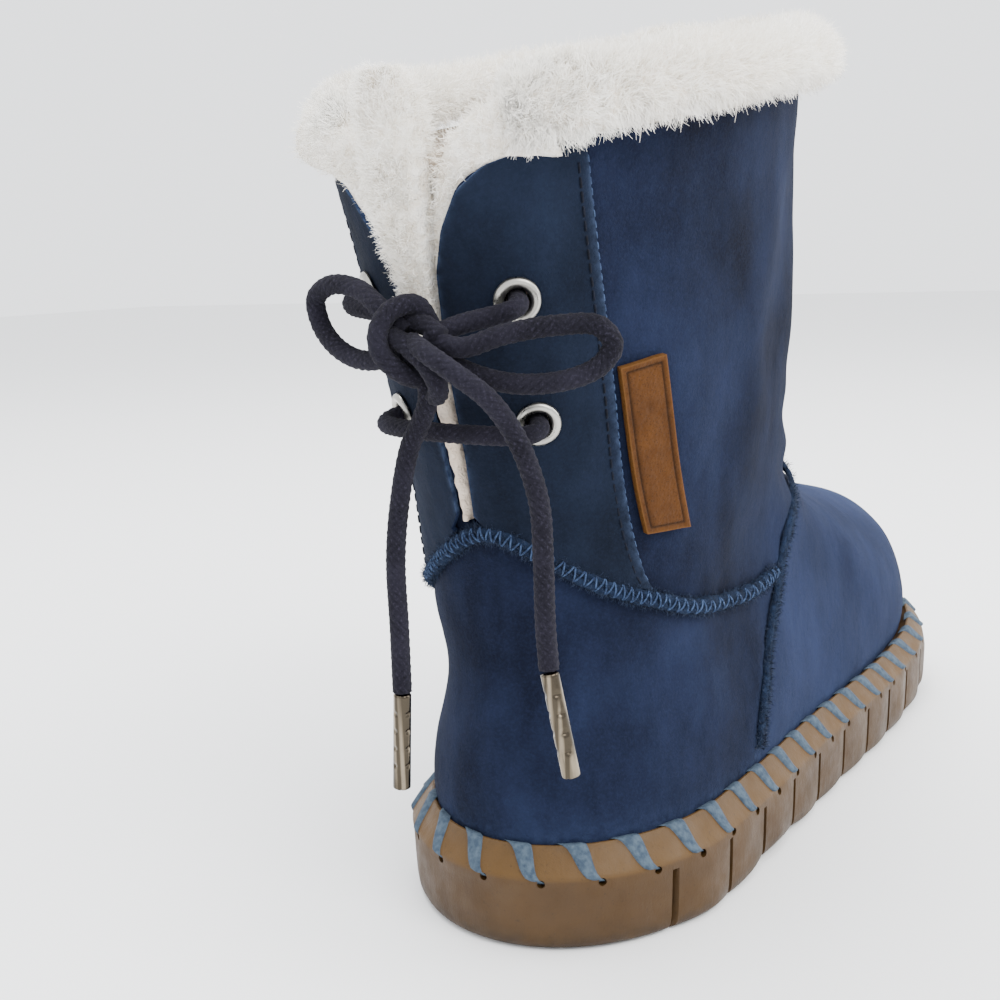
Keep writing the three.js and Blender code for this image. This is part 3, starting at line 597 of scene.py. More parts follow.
@dataclass(frozen=True)
class SuedeFinish:
    """Napped suede: blotched where it was brushed, and rubbed pale along its edges."""

    name: str
    deep: Colour
    washed_and_lit: Colour
    worn: Colour
    nap: float = 0.00022

    def make(self) -> bpy.types.Material:
        """Returns the finished material."""
        board = NodeBoard(self.name, self.deep, 0.96)
        broad = board.noise(20, 4, 0.6)
        brushed = board.noise(60, 3, 0.6, board.stretched((1.6, 1.0, 0.45)))
        blotches = board.maths("ADD", broad, board.maths("MULTIPLY", brushed, 0.5))
        patches = board.levels(blotches, 0.6, 0.98)
        # Blotches, the paler toe panel and a painted highlight on the top of the toe, all mixed
        # towards the paler colour.
        faded_and_lit = board.maths("ADD", board.maths("MULTIPLY", patches, 0.32), board.attribute("fade_and_highlight"))
        colour = board.blend(board.levels(faded_and_lit, 0.0, 1.0), self.deep, self.washed_and_lit)
        speckle = board.noise(1500, 2, 0.7)
        colour = board.blend(board.levels(speckle, 0.42, 0.75, 0.0, 0.14), colour, self.washed_and_lit)
        naps = board.noise(700, 3, 0.7)
        colour = board.blend(board.levels(naps, 0.3, 0.5, 0.16, 0.0), colour, self.deep)
        scattered = board.levels(board.noise(500, 3), 0.3, 0.62)
        rubbed = board.maths("MULTIPLY", board.attribute("wear"), scattered)
        colour = board.blend(rubbed, colour, self.worn)
        shade = board.levels(board.attribute("shade"), 0.0, 1.0, 1.0, 0.42)
        colour = board.blend(1.0, colour, shade, "MULTIPLY")
        board.feed("Base Color", colour)
        board.fix("Sheen Weight", 0.02)
        board.fix("Sheen Tint", self.worn)
        board.fix("Specular IOR Level", 0.1)
        soft = board.bump(board.noise(220, 3, 0.6), 0.0005)
        board.feed("Normal", board.bump(board.noise(1900, 3, 0.75), self.nap, soft))
        return board.material


@dataclass(frozen=True)
class FibreFinish:
    """Wool or nap fibres, darker at their roots as painted shade, each with its own tone."""

    name: str
    root: Colour
    tip: Colour
    dull: Colour
    sheen: float = 0.25

    def make(self) -> bpy.types.Material:
        """Returns the finished material."""
        board = NodeBoard(self.name, self.tip, 0.8)
        # Painted shade: each hair darkens towards its root.
        along = board.levels(board.attribute("along"), 0.0, 0.55)
        colour = board.blend(along, self.root, self.tip)
        scattered = board.levels(board.noise(55, 3), 0.35, 0.75)
        dullness = board.maths("MULTIPLY", board.attribute("tone"), scattered)
        board.feed("Base Color", board.blend(dullness, colour, self.dull))
        board.fix("Sheen Weight", self.sheen)
        board.fix("Specular IOR Level", 0.25)
        return board.material


@dataclass(frozen=True)
class FleeceFinish:
    """A matted fleece face: small curled tufts with darker gaps, painted shade between the tufts.
    """

    name: str
    tuft: Colour
    gap: Colour
    stained: Colour
    tuft_scale: float = 420.0

    def make(self) -> bpy.types.Material:
        """Returns the finished material."""
        board = NodeBoard(self.name, self.tuft, 0.95)
        curls = board.noise(self.tuft_scale, 4, 0.65)
        # Painted shade: the gaps between the tufts are darker.
        colour = board.blend(board.levels(curls, 0.35, 0.6), self.gap, self.tuft)
        stains = board.levels(board.noise(30, 3), 0.5, 0.8, 0.0, 0.35)
        # The foot of the slit's fur is made darker and warmer.
        stains = board.maths("MAXIMUM", stains, board.attribute("lower_darkening"))
        board.feed("Base Color", board.blend(stains, colour, self.stained))
        board.fix("Sheen Weight", 0.1)
        board.fix("Specular IOR Level", 0.2)
        fine = board.bump(board.noise(self.tuft_scale * 4, 3, 0.7), 0.0003)
        board.feed("Normal", board.bump(curls, 0.0014, fine))
        return board.material


@dataclass(frozen=True)
class RubberFinish:
    """Gum rubber: paler on its bevel as a painted highlight, scuffed, darker low down, and with
    painted shade where the upper sits on it.
    """

    name: str = "gum_rubber"
    gum: Colour = tone(51, 32, 5)
    # The paler colour serves the random mottling and the painted highlight on the bevel.
    pale: Colour = tone(80, 55, 15)
    # The darkest colour serves random specks and the painted shade.
    soiled_and_shade: Colour = tone(28, 18, 5)

    def make(self) -> bpy.types.Material:
        """Returns the finished material."""
        board = NodeBoard(self.name, self.gum, 0.55)
        mottled = board.levels(board.noise(70, 5, 0.6), 0.3, 0.75)
        colour = board.blend(board.maths("MULTIPLY", mottled, 0.35), self.gum, self.pale)
        # Painted highlight: the bevel along the sole's upper rim is paler.
        colour = board.blend(board.attribute("bevel"), colour, self.pale)
        # Darker towards the ground, and painted shade on top where the upper sits on the sole.
        scattered = board.levels(board.noise(240, 5, 0.7), 0.32, 0.6)
        low_dark_and_rim_shade = board.maths("MULTIPLY", board.attribute("low_dark_and_rim_shade"), scattered)
        colour = board.blend(low_dark_and_rim_shade, colour, self.soiled_and_shade)
        specks = board.levels(board.noise(1300, 2, 0.6), 0.62, 0.74, 0.0, 0.4)
        board.feed("Base Color", board.blend(specks, colour, self.soiled_and_shade))
        board.feed("Roughness", board.levels(board.noise(160, 4), 0.3, 0.7, 0.45, 0.68))
        board.fix("Specular IOR Level", 0.3)
        scuffs = board.noise(420, 4, 0.7, board.stretched((1.0, 1.0, 0.3)))
        board.feed("Normal", board.bump(board.noise(2200, 2), 0.00006, board.bump(scuffs, 0.00016)))
        return board.material


@dataclass(frozen=True)
class MetalFinish:
    """Brushed nickel, dulled in spots, with thin dark lines along it as a painted reflection where
    asked for.
    """

    name: str
    base: Colour
    roughness: float = 0.3
    streaks: float = 0.0

    def make(self) -> bpy.types.Material:
        """Returns the finished material."""
        board = NodeBoard(self.name, self.base, self.roughness, 1.0)
        brushed = board.noise(900, 3, 0.6, board.stretched((1.0, 1.0, 0.12)))
        # Painted reflection: thin dark lines along the metal stand for dark surroundings reflected
        # in it.
        dark_reflection_lines = board.noise(620, 1, 0.4, board.stretched((1.0, 1.0, 0.03)))
        dark_reflection_lines = board.levels(dark_reflection_lines, 0.42, 0.56, 0.0, self.streaks)
        cloud = board.noise(260, 3)
        rough = board.maths("ADD", board.levels(cloud, 0.3, 0.7, -0.08, 0.14), self.roughness)
        board.feed("Roughness", rough)
        dull, dark = (tuple(c * k for c in self.base[:3]) + (1.0,) for k in (0.55, 0.12))
        worn = board.blend(board.levels(cloud, 0.5, 0.85, 0.0, 0.6), self.base, dull)
        board.feed("Base Color", board.blend(dark_reflection_lines, worn, dark))
        board.feed("Normal", board.bump(brushed, 0.00004))
        return board.material


@dataclass(frozen=True)
class BraidFinish:
    """Round braided cord: dull yarn, paler on the crowns of its crossings as a painted highlight,
    with painted shade in the gaps.
    """

    name: str
    yarn: Colour
    crown: Colour
    gap: Colour

    def make(self) -> bpy.types.Material:
        """Returns the finished material."""
        board = NodeBoard(self.name, self.yarn, 0.92)
        relief = board.attribute("relief")
        # Painted shade: the low parts between the braided yarns are darker.
        colour = board.blend(board.levels(relief, 0.0, 0.45), self.gap, self.yarn)
        flecks = board.levels(board.noise(2300, 2, 0.6), 0.5, 0.68)
        # Painted highlight: flecks on the high crowns of the crossings are paler.
        pale = board.maths("MULTIPLY", board.levels(relief, 0.45, 1.0), flecks)
        colour = board.blend(pale, colour, self.crown)
        cloud = board.levels(board.noise(90, 3), 0.35, 0.7, 0.0, 0.35)
        board.feed("Base Color", board.blend(cloud, colour, self.crown))
        board.fix("Sheen Weight", 0.02)
        board.fix("Specular IOR Level", 0.1)
        board.feed("Normal", board.bump(board.noise(3000, 3, 0.7), 0.0002))
        return board.material


@dataclass(frozen=True)
class LeatherFinish:
    """Pull-up leather with a fine grain, pale where it is cut."""

    name: str = "label_leather"
    hide: Colour = tone(58, 33, 10)
    scuffed: Colour = tone(86, 52, 18)
    pressed: Colour = tone(22, 12, 5)
    cut: Colour = tone(86, 56, 25)

    def make(self) -> bpy.types.Material:
        """Returns the finished material."""
        board = NodeBoard(self.name, self.hide, 0.62)
        cloud = board.levels(board.noise(120, 4, 0.6), 0.3, 0.75, 0.0, 0.6)
        colour = board.blend(cloud, self.hide, self.scuffed)
        pores = board.levels(board.cells(1700), 0.12, 0.3, 0.55, 0.0)
        colour = board.blend(pores, colour, self.pressed)
        colour = board.blend(board.attribute("pressed"), colour, self.pressed)
        board.feed("Base Color", board.blend(board.attribute("cut"), colour, self.cut))
        board.fix("Specular IOR Level", 0.1)
        board.feed("Roughness", board.levels(board.noise(400, 3), 0.3, 0.7, 0.6, 0.8))
        grain = board.bump(board.cells(1100), 0.00018)
        board.feed("Normal", board.bump(board.noise(900, 4, 0.6), 0.00015, grain))
        return board.material


@dataclass(frozen=True)
class ThreadFinish:
    """Twisted sewing thread, its plies running slantwise along it."""

    name: str
    yarn: Colour
    shadow: Colour
    twist: float = 900.0

    def make(self) -> bpy.types.Material:
        """Returns the finished material."""
        board = NodeBoard(self.name, self.yarn, 0.8)
        plies = board.noise(self.twist, 3, 0.6)
        lit = board.levels(plies, 0.34, 0.62)
        board.feed("Base Color", board.blend(lit, self.shadow, self.yarn))
        board.fix("Specular IOR Level", 0.15)
        board.feed("Normal", board.bump(plies, 0.00025))
        return board.material


@dataclass
class Finishes:
    """Every material of the boot, made once."""

    suede: bpy.types.Material = field(init=False)
    suede_edge: bpy.types.Material = field(init=False)
    panel: bpy.types.Material = field(init=False)
    seam: bpy.types.Material = field(init=False)
    nap: bpy.types.Material = field(init=False)
    wool: bpy.types.Material = field(init=False)
    wool_mat: bpy.types.Material = field(init=False)
    fleece: bpy.types.Material = field(init=False)
    rubber: bpy.types.Material = field(init=False)
    nickel: bpy.types.Material = field(init=False)
    steel: bpy.types.Material = field(init=False)
    lace: bpy.types.Material = field(init=False)
    leather: bpy.types.Material = field(init=False)
    pale_thread: bpy.types.Material = field(init=False)
    dark_thread: bpy.types.Material = field(init=False)
    whip_thread: bpy.types.Material = field(init=False)

    def __post_init__(self) -> None:
        """Builds the materials."""
        self.suede = SuedeFinish(
            "suede", tone(5, 8, 21), tone(44, 55, 86), tone(62, 76, 106)
        ).make()
        self.suede_edge = SuedeFinish(
            "suede_cut_edge", tone(16, 24, 46), tone(44, 58, 88), tone(70, 86, 116)
        ).make()
        self.panel = SuedeFinish(
            "suede_dark", tone(6, 10, 19), tone(38, 48, 70), tone(54, 66, 90)
        ).make()
        self.seam = SuedeFinish(
            "seam_suede", tone(6, 10, 22), tone(27, 38, 60), tone(42, 57, 82), nap=0.0004
        ).make()
        self.nap = FibreFinish(
            "suede_nap", tone(6, 10, 22), tone(28, 40, 62), tone(13, 21, 38), sheen=0.02
        ).make()
        self.wool = FibreFinish(
            "wool", tone(238, 232, 220), tone(252, 250, 245), tone(240, 232, 218)
        ).make()
        self.wool_mat = FleeceFinish(
            "wool_mat", tone(250, 246, 238), tone(228, 218, 202), tone(206, 184, 162)
        ).make()
        self.fleece = FleeceFinish(
            "fleece", tone(232, 220, 204), tone(186, 168, 148), tone(206, 180, 160)
        ).make()
        self.rubber = RubberFinish().make()
        self.nickel = MetalFinish("eyelet_metal", (0.36, 0.35, 0.32, 1.0), 0.28).make()
        # The aglet's dark base colour and its dark lines are a painted dark reflection.
        self.steel = MetalFinish(
            "aglet_metal", (0.2, 0.165, 0.12, 1.0), 0.15, streaks=0.85
        ).make()
        self.lace = BraidFinish(
            "lace_cord", tone(17, 16, 23), tone(44, 42, 54), tone(4, 4, 7)
        ).make()
        self.leather = LeatherFinish().make()
        self.pale_thread = ThreadFinish("seam_thread", tone(60, 78, 108), tone(30, 42, 68)).make()
        self.dark_thread = ThreadFinish("panel_thread", tone(9, 14, 28), tone(4, 6, 14)).make()
        self.whip_thread = ThreadFinish(
            "whip_thread", tone(68, 81, 93), tone(48, 60, 74), twist=700
        ).make()


def value_layers(bm: bmesh.types.BMesh, *names: str) -> list[bmesh.types.BMLayerItem]:
    """Returns a mesh's named values."""
    return [bm.verts.layers.float[name] for name in names]


def new_mesh(*values: str) -> bmesh.types.BMesh:
    """Starts an empty mesh with a UV map and named values on its points.

    Args:
        values: The names of the values.

    Returns:
        The mesh.
    """
    bm = bmesh.new()
    bm.loops.layers.uv.new("UVMap")
    for name in values:
        bm.verts.layers.float.new(name)
    return bm


def add_grid(
    bm: bmesh.types.BMesh, columns: int, rows: int, place: Placement
) -> list[bmesh.types.BMVert]:
    """Adds a grid to a mesh and carries each of its points to its place.

    Args:
        bm: The mesh.
        columns: How many faces it has across.
        rows: How many faces it has up.
        place: Gives the point for a share across and a share up.

    Returns:
        The grid's points.
    """
    made = bmesh.ops.create_grid(
        bm, x_segments=columns, y_segments=rows, size=0.5, calc_uvs=True
    )["verts"]
    for vert in made:
        vert.co = place(vert.co.x + 0.5, vert.co.y + 0.5)
    return made


def weld(bm: bmesh.types.BMesh, distance: float = 1e-6) -> None:
    """Merges the points of a mesh that lie on each other."""
    bmesh.ops.remove_doubles(bm, verts=bm.verts, dist=distance)


def close(bm: bmesh.types.BMesh) -> None:
    """Welds a mesh, caps its open ends and turns its faces outwards."""
    weld(bm)
    bmesh.ops.holes_fill(bm, edges=bm.edges, sides=0)
    bmesh.ops.recalc_face_normals(bm, faces=bm.faces)


def link(name: str, data: bpy.types.ID) -> bpy.types.Object:
    """Returns a new object of the scene."""
    made = bpy.data.objects.new(name, data)
    bpy.context.scene.collection.objects.link(made)
    return made


def to_mesh(bm: bmesh.types.BMesh, name: str) -> bpy.types.Mesh:
    """Returns a mesh of what a bmesh holds, and frees the bmesh."""
    mesh = bpy.data.meshes.new(name)
    bm.to_mesh(mesh)
    bm.free()
    return mesh


def stand(place: Vector, direction: Vector, track: str = "Z") -> Matrix:
    """Returns the transform that stands something at a place, facing a direction."""
    return Matrix.Translation(place) @ direction.to_track_quat(track, "Y").to_matrix().to_4x4()


def open_holes(bm: bmesh.types.BMesh, middles: Sequence[Vector], reach: float) -> None:
    """Deletes the faces whose middles lie within reach of any of some points."""
    doomed = [
        face
        for face in bm.faces
        if any((face.calc_center_median() - middle).length < reach for middle in middles)
    ]
    bmesh.ops.delete(bm, geom=doomed, context="FACES")


def settle(
    bm: bmesh.types.BMesh,
    name: str,
    slot: Slot,
    materials: Sequence[bpy.types.Material],
    nodes: Sequence[str] = (),
) -> bpy.types.Object:
    """Makes a mesh into a piece of the boot.

    Args:
        bm: The mesh, which is used up.
        name: The piece's name.
        slot: Passed on to adopt, which does not use it.
        materials: Its materials.
        nodes: The solids that it stands for.

    Returns:
        The piece.
    """
    for face in bm.faces:
        face.smooth = True
    return adopt(to_mesh(bm, name), name, slot, materials, nodes)


def adopt(
    mesh: bpy.types.Mesh,
    name: str,
    slot: Slot,
    materials: Sequence[bpy.types.Material],
    nodes: Sequence[str] = (),
) -> bpy.types.Object:
    """Makes a finished mesh into a piece that rides on the boot.

    Args:
        mesh: The mesh.
        name: The piece's name.
        slot: Not used.
        materials: Its materials.
        nodes: The solids that it stands for.

    Returns:
        The piece.
    """
    mesh.materials.clear()
    for material in materials:
        mesh.materials.append(material)
    piece = link(name, mesh)
    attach(piece, BODY)
    if nodes:
        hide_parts(*nodes)
    log.info("%s: %d faces", name, len(mesh.polygons))
    return piece


def thicken(piece: bpy.types.Object, thickness: float, outward: bool, bevel: float = 0.0) -> None:
    """Gives a sheet its wall, with its own materials inside and on its edge where it has them.

    Args:
        piece: The sheet.
        thickness: The wall.
        outward: Whether the wall goes outwards.
        bevel: How wide its edges are rounded.
    """
    wall = piece.modifiers.new("wall", "SOLIDIFY")
    wall.thickness = thickness
    wall.offset = 1.0 if outward else -1.0
    wall.use_quality_normals = True
    extra = len(piece.data.materials) - 1
    wall.material_offset = min(1, extra)
    wall.material_offset_rim = min(2, extra)
    if bevel:
        edge = piece.modifiers.new("edge", "BEVEL")
        edge.width = bevel
        edge.segments = 2
        edge.limit_method = "ANGLE"
        edge.angle_limit = math.radians(55)


def bake_modifiers(piece: bpy.types.Object) -> None:
    """Replaces a piece's mesh by what its modifiers make of it."""
    graph = bpy.context.evaluated_depsgraph_get()
    finished = piece.evaluated_get(graph)
    made = bpy.data.meshes.new_from_object(
        finished, preserve_all_data_layers=True, depsgraph=graph
    )
    piece.modifiers.clear()
    piece.data = made


def carve(piece: bpy.types.Object, cutter: bmesh.types.BMesh) -> None:
    """Cuts a piece with another mesh, which is used up."""
    mesh = to_mesh(cutter, "cutter")
    tool = link("cutter", mesh)
    cut = piece.modifiers.new("cut", "BOOLEAN")
    cut.operation = "DIFFERENCE"
    cut.solver = "EXACT"
    cut.object = tool
    bake_modifiers(piece)
    bpy.data.objects.remove(tool)
    bpy.data.meshes.remove(mesh)


def lengths_along(line: np.ndarray) -> np.ndarray:
    """Returns how far along a line each of its points lies."""
    return np.concatenate([[0.0], np.cumsum(np.linalg.norm(np.diff(line, axis=0), axis=1))])


def smooth_path(points: Sequence[Vector], spacing: float) -> list[Vector]:
    """Draws a smooth centripetal curve through points.

    Args:
        points: The points that it passes through.
        spacing: About how far apart the result's points are.

    Returns:
        Evenly spaced points along the curve.
    """
    guides = [points[0] * 2 - points[1], *points, points[-1] * 2 - points[-2]]
    dense: list[Vector] = []
    for p0, p1, p2, p3 in zip(guides, guides[1:], guides[2:], guides[3:]):
        d0, d1, d2 = (math.sqrt((b - a).length) for a, b in ((p0, p1), (p1, p2), (p2, p3)))
        t1 = ((p1 - p0) / d0 - (p2 - p0) / (d0 + d1) + (p2 - p1) / d1) * d1
        t2 = ((p2 - p1) / d1 - (p3 - p1) / (d1 + d2) + (p3 - p2) / d2) * d1
        for k in range(24):
            t = k / 24
            bend = (p1 - p2) * 2 + t1 + t2
            dense.append(p1 + t1 * t + ((p2 - p1) * 3 - t1 * 2 - t2) * t * t + bend * t**3)
    dense.append(points[-1].copy())
    line = np.array(dense)
    along = lengths_along(line)
    stops = np.linspace(0.0, along[-1], max(2, round(along[-1] / spacing)) + 1)
    return [Vector([float(np.interp(s, along, line[:, k])) for k in range(3)]) for s in stops]


def carried_frames(path: Sequence[Vector]) -> list[tuple[Vector, Vector]]:
    """Carries a pair of crosswise directions along a path without twisting them.

    Args:
        path: The points of the path.

    Returns:
        The two directions at each point.
    """
    frames: list[tuple[Vector, Vector]] = []
    last = len(path) - 1
    across = (path[1] - path[0]).orthogonal().normalized()
    for i in range(len(path)):
        tangent = (path[min(i + 1, last)] - path[max(i - 1, 0)]).normalized()
        across = (across - tangent * across.dot(tangent)).normalized()
        frames.append((across, tangent.cross(across)))
    return frames


def add_tube(
    bm: bmesh.types.BMesh,
    path: Sequence[Vector],
    radius: Callable[[float, float], float],
    sides: int,
) -> list[bmesh.types.BMVert]:
    """Adds a tube along a path.

    Args:
        bm: The mesh.
        path: The tube's middle line.
        radius: Gives the radius for a share round it and a share along it.
        sides: How many sides it has.

    Returns:
        The tube's points, those along its seam twice until they are welded.
    """
    frames = carried_frames(path)
    last = len(path) - 1

    def place(u: float, v: float) -> Vector:
        i = round(v * last)
        across, beside = frames[i]
        angle = -2 * math.pi * u
        return path[i] + (across * math.cos(angle) + beside * math.sin(angle)) * radius(u, v)

    return add_grid(bm, sides, last, place)


@dataclass
class Blades:
    """Fine hairs grown as tapering ribbons, as an array of one blade."""

    root_width: float
    tip_width: float
    stages: int = 3
    curl: float = 0.0004

    def grow(
        self,
        name: str,
        roots: np.ndarray,
        leans: np.ndarray,
        tips: np.ndarray,
        outward: np.ndarray,
        seed: int,
    ) -> bpy.types.Mesh:
        """Grows a hair at each root.

        Args:
            name: The mesh's name.
            roots: Where the hairs start.
            leans: How they set off: a direction with the hair's length.
            tips: Where they end.
            outward: The direction in which the skin faces at each root.
            seed: Starts the random numbers.

        Returns:
            The mesh, with values along and tone on its points.
        """
        count = len(roots)
        rng = np.random.default_rng(seed)
        bm = bmesh.new()
        bmesh.ops.create_grid(bm, x_segments=1, y_segments=self.stages, size=0.5)
        row = link("blade", to_mesh(bm, "blade"))
        array = row.modifiers.new("row", "ARRAY")
        array.count = count
        array.use_relative_offset = False
        array.use_constant_offset = True
        array.constant_offset_displace = (0.0, 0.0, 1.0)
        graph = bpy.context.evaluated_depsgraph_get()
        mesh = bpy.data.meshes.new_from_object(row.evaluated_get(graph), depsgraph=graph)
        mesh.name = name
        bpy.data.objects.remove(row)
        points = np.zeros(len(mesh.vertices) * 3, np.float32)
        mesh.vertices.foreach_get("co", points)
        points = points.reshape(count, -1, 3).astype(float)
        across, share = points[0, :, 0] * 2, points[0, :, 1] + 0.5
        turned = rng.normal(0.0, 0.5, (count, 3))
        sides = np.cross(leans, outward + turned)
        sides /= np.maximum(np.linalg.norm(sides, axis=1, keepdims=True), 1e-12)
        pace = rng.uniform(4, 8, (count, 1))
        start = rng.uniform(0, 6.28, (count, 1))
        wave = self.curl * np.sin(share[None, :] * pace + start)
        width = (self.root_width + (self.tip_width - self.root_width) * share**1.4) / 2
        width = width[None, :] * rng.uniform(0.75, 1.3, (count, 1))
        s = share[None, :, None]
        spine = roots[:, None] + leans[:, None] * s + (tips - roots - leans)[:, None] * s * s
        reach = (width * across + wave * share)[:, :, None]
        mesh.vertices.foreach_set("co", (spine + sides[:, None] * reach).astype(np.float32).ravel())
        along = mesh.attributes.new("along", "FLOAT", "POINT")
        along.data.foreach_set("value", np.tile(share, count).astype(np.float32))
        tones = mesh.attributes.new("tone", "FLOAT", "POINT")
        tones.data.foreach_set("value", np.repeat(rng.random(count), len(share)).astype(np.float32))
        mesh.update()
        return mesh


class Crease(NamedTuple):
    """A soft trough in the suede, in millimetres: its course along and up, depth and breadth."""

    side: Side
    course: tuple[tuple[float, float], ...]
    depth: float
    breadth: float


CREASES = (
    Crease(Side.LATERAL, ((56, 98), (84, 91), (100, 98)), 1.5, 5.5),
    Crease(Side.LATERAL, ((60, 110), (84, 106), (99, 112)), 0.9, 5.0),
    Crease(Side.LATERAL, ((30, 84), (52, 78), (66, 80)), 0.8, 6.0),
    Crease(Side.LATERAL, ((2, 150), (14, 118), (12, 96)), 0.8, 9.0),
    Crease(Side.LATERAL, ((52, 176), (44, 142), (48, 112)), 0.9, 10.0),
    Crease(Side.LATERAL, ((80, 180), (84, 150), (78, 122)), 0.8, 9.0),
    Crease(Side.LATERAL, ((-30, 64), (-12, 54), (6, 40)), 0.7, 9.0),
    Crease(Side.LATERAL, ((20, 60), (30, 46), (28, 32)), 0.6, 8.0),
    Crease(Side.LATERAL, ((118, 78), (140, 62), (168, 52)), 0.8, 9.0),
    Crease(Side.LATERAL, ((96, 60), (112, 44), (136, 34)), 0.7, 8.0),
    Crease(Side.MEDIAL, ((54, 96), (82, 90), (100, 98)), 1.5, 5.5),
    Crease(Side.MEDIAL, ((60, 108), (82, 104), (98, 111)), 0.9, 5.0),
    Crease(Side.MEDIAL, ((8, 160), (18, 128), (14, 102)), 0.9, 9.0),
    Crease(Side.MEDIAL, ((60, 178), (52, 144), (56, 116)), 0.8, 10.0),
    Crease(Side.MEDIAL, ((-28, 66), (-10, 56), (4, 42)), 0.7, 9.0),
    Crease(Side.MEDIAL, ((116, 76), (138, 60), (166, 50)), 0.8, 9.0),
    Crease(Side.MEDIAL, ((60, 52), (84, 44), (104, 36)), 0.8, 8.0),
)


def crease_relief(points: np.ndarray) -> np.ndarray:
    """Works out how far the creases push the suede in or out.

    Args:
        points: Points of the suede.

    Returns:
        The push along the normal at each point.
    """
    push = np.zeros(len(points))
    flat = points[:, 1:] / MILLIMETRE
    for crease in CREASES:
        nearest = np.full(len(points), np.inf)
        ends = np.zeros(len(points))
        course = np.array(crease.course, float)
        for i, (a, b) in enumerate(zip(course, course[1:])):
            line = b - a
            t = np.clip(((flat - a) @ line) / (line @ line), 0, 1)
            away = np.linalg.norm(flat - a - t[:, None] * line, axis=1)
            closer = away < nearest
            nearest = np.where(closer, away, nearest)
            ends = np.where(closer, (i + t) / (len(course) - 1), ends)
        taper = np.sin(np.pi * np.clip(ends * 0.94 + 0.03, 0, 1)) ** 0.7
        x = nearest / crease.breadth
        shape = -np.exp(-x * x) + 0.45 * np.exp(-((x - 1.7) ** 2) / 0.5)
        own_side = crease.side.value * points[:, 0] > 0
        push += np.where(own_side, shape * taper * crease.depth * MILLIMETRE, 0.0)
    return push


class CoursePoint(NamedTuple):
    """A point of a seam's course, as shares of the foot's length and the shaft's height."""

    along: float
    up: float


@dataclass
class SeamCourses:
    """The lines that the seams follow over the upper."""

    form: BootForm
    ankle: tuple[CoursePoint, ...] = (
        CoursePoint(0.036, 0.45),
        CoursePoint(0.064, 0.413),
        CoursePoint(0.103, 0.388),
        CoursePoint(0.169, 0.361),
        CoursePoint(0.285, 0.344),
        CoursePoint(0.352, 0.352),
    )
    ankle_back_up: float = 0.476
    vamp: tuple[CoursePoint, ...] = (
        CoursePoint(0.27, 0.139),
        CoursePoint(0.274, 0.165),
        CoursePoint(0.292, 0.208),
        CoursePoint(0.314, 0.254),
        CoursePoint(0.352, 0.309),
        CoursePoint(0.376, 0.359),
        CoursePoint(0.411, 0.404),
        CoursePoint(0.475, 0.445),
    )
    vamp_front_up: float = 0.49
    panel: tuple[CoursePoint, ...] = (
        CoursePoint(0.112, 0.375),
        CoursePoint(0.095, 0.42),
        CoursePoint(0.053, 0.623),
        CoursePoint(0.027, 0.742),
        CoursePoint(-0.012, 0.905),
        CoursePoint(-0.04, 1.0),
    )

    def _place(self, point: CoursePoint) -> Place:
        """Returns the place of a course's point on the outer side."""
        y = point.along * self.form.foot_length - self.form.foot_heel_reach
        return self.form.place_at(y, point.up * self.form.shaft_height + self.form.spring(y))

    def ankle_places(self) -> list[Place]:
        """Returns the ankle seam's places, from the outer side round the back to the inner side."""
        side = [self._place(point) for point in self.ankle]
        back = self.form.level_at(0.0, self.ankle_back_up * self.form.shaft_height)
        return [*reversed(side), Place(back, 0.0), *[Place(p.level, -p.turn) for p in side]]

    def vamp_places(self) -> list[Place]:
        """Returns the toe panel seam's places, from the outer side over the front to the inner."""
        side = [self._place(point) for point in self.vamp]
        front = self.form.level_at(0.5, self.vamp_front_up * self.form.shaft_height)
        return [*side, Place(front, 0.5), *[Place(p.level, 1 - p.turn) for p in reversed(side)]]

    def panel_turn(self, level: float, more: float = 0.0) -> float:
        """Finds the turn of the eyelet panel's front edge at a level.

        Args:
            level: The section level.
            more: How much further forward than the edge.

        Returns:
            The turn, counted from the back.
        """
        high, far = self.form.shaft_height, self.form.foot_length
        rows = [(point.up * high, point.along * far) for point in self.panel]

        def behind(turn: float) -> bool:
            point = self.form.upper_point(level, turn)
            return point.y < line_value(rows, point.z) - self.form.foot_heel_reach + more

        return solve(0.0, 0.4, behind)

    @staticmethod
    def along(places: Sequence[Place], share: float) -> Place:
        """Returns the place at a share of a course."""
        at = share * (len(places) - 1)
        level = curve_value([p.level for p in places], at)
        return Place(level, curve_value([p.turn for p in places], at))


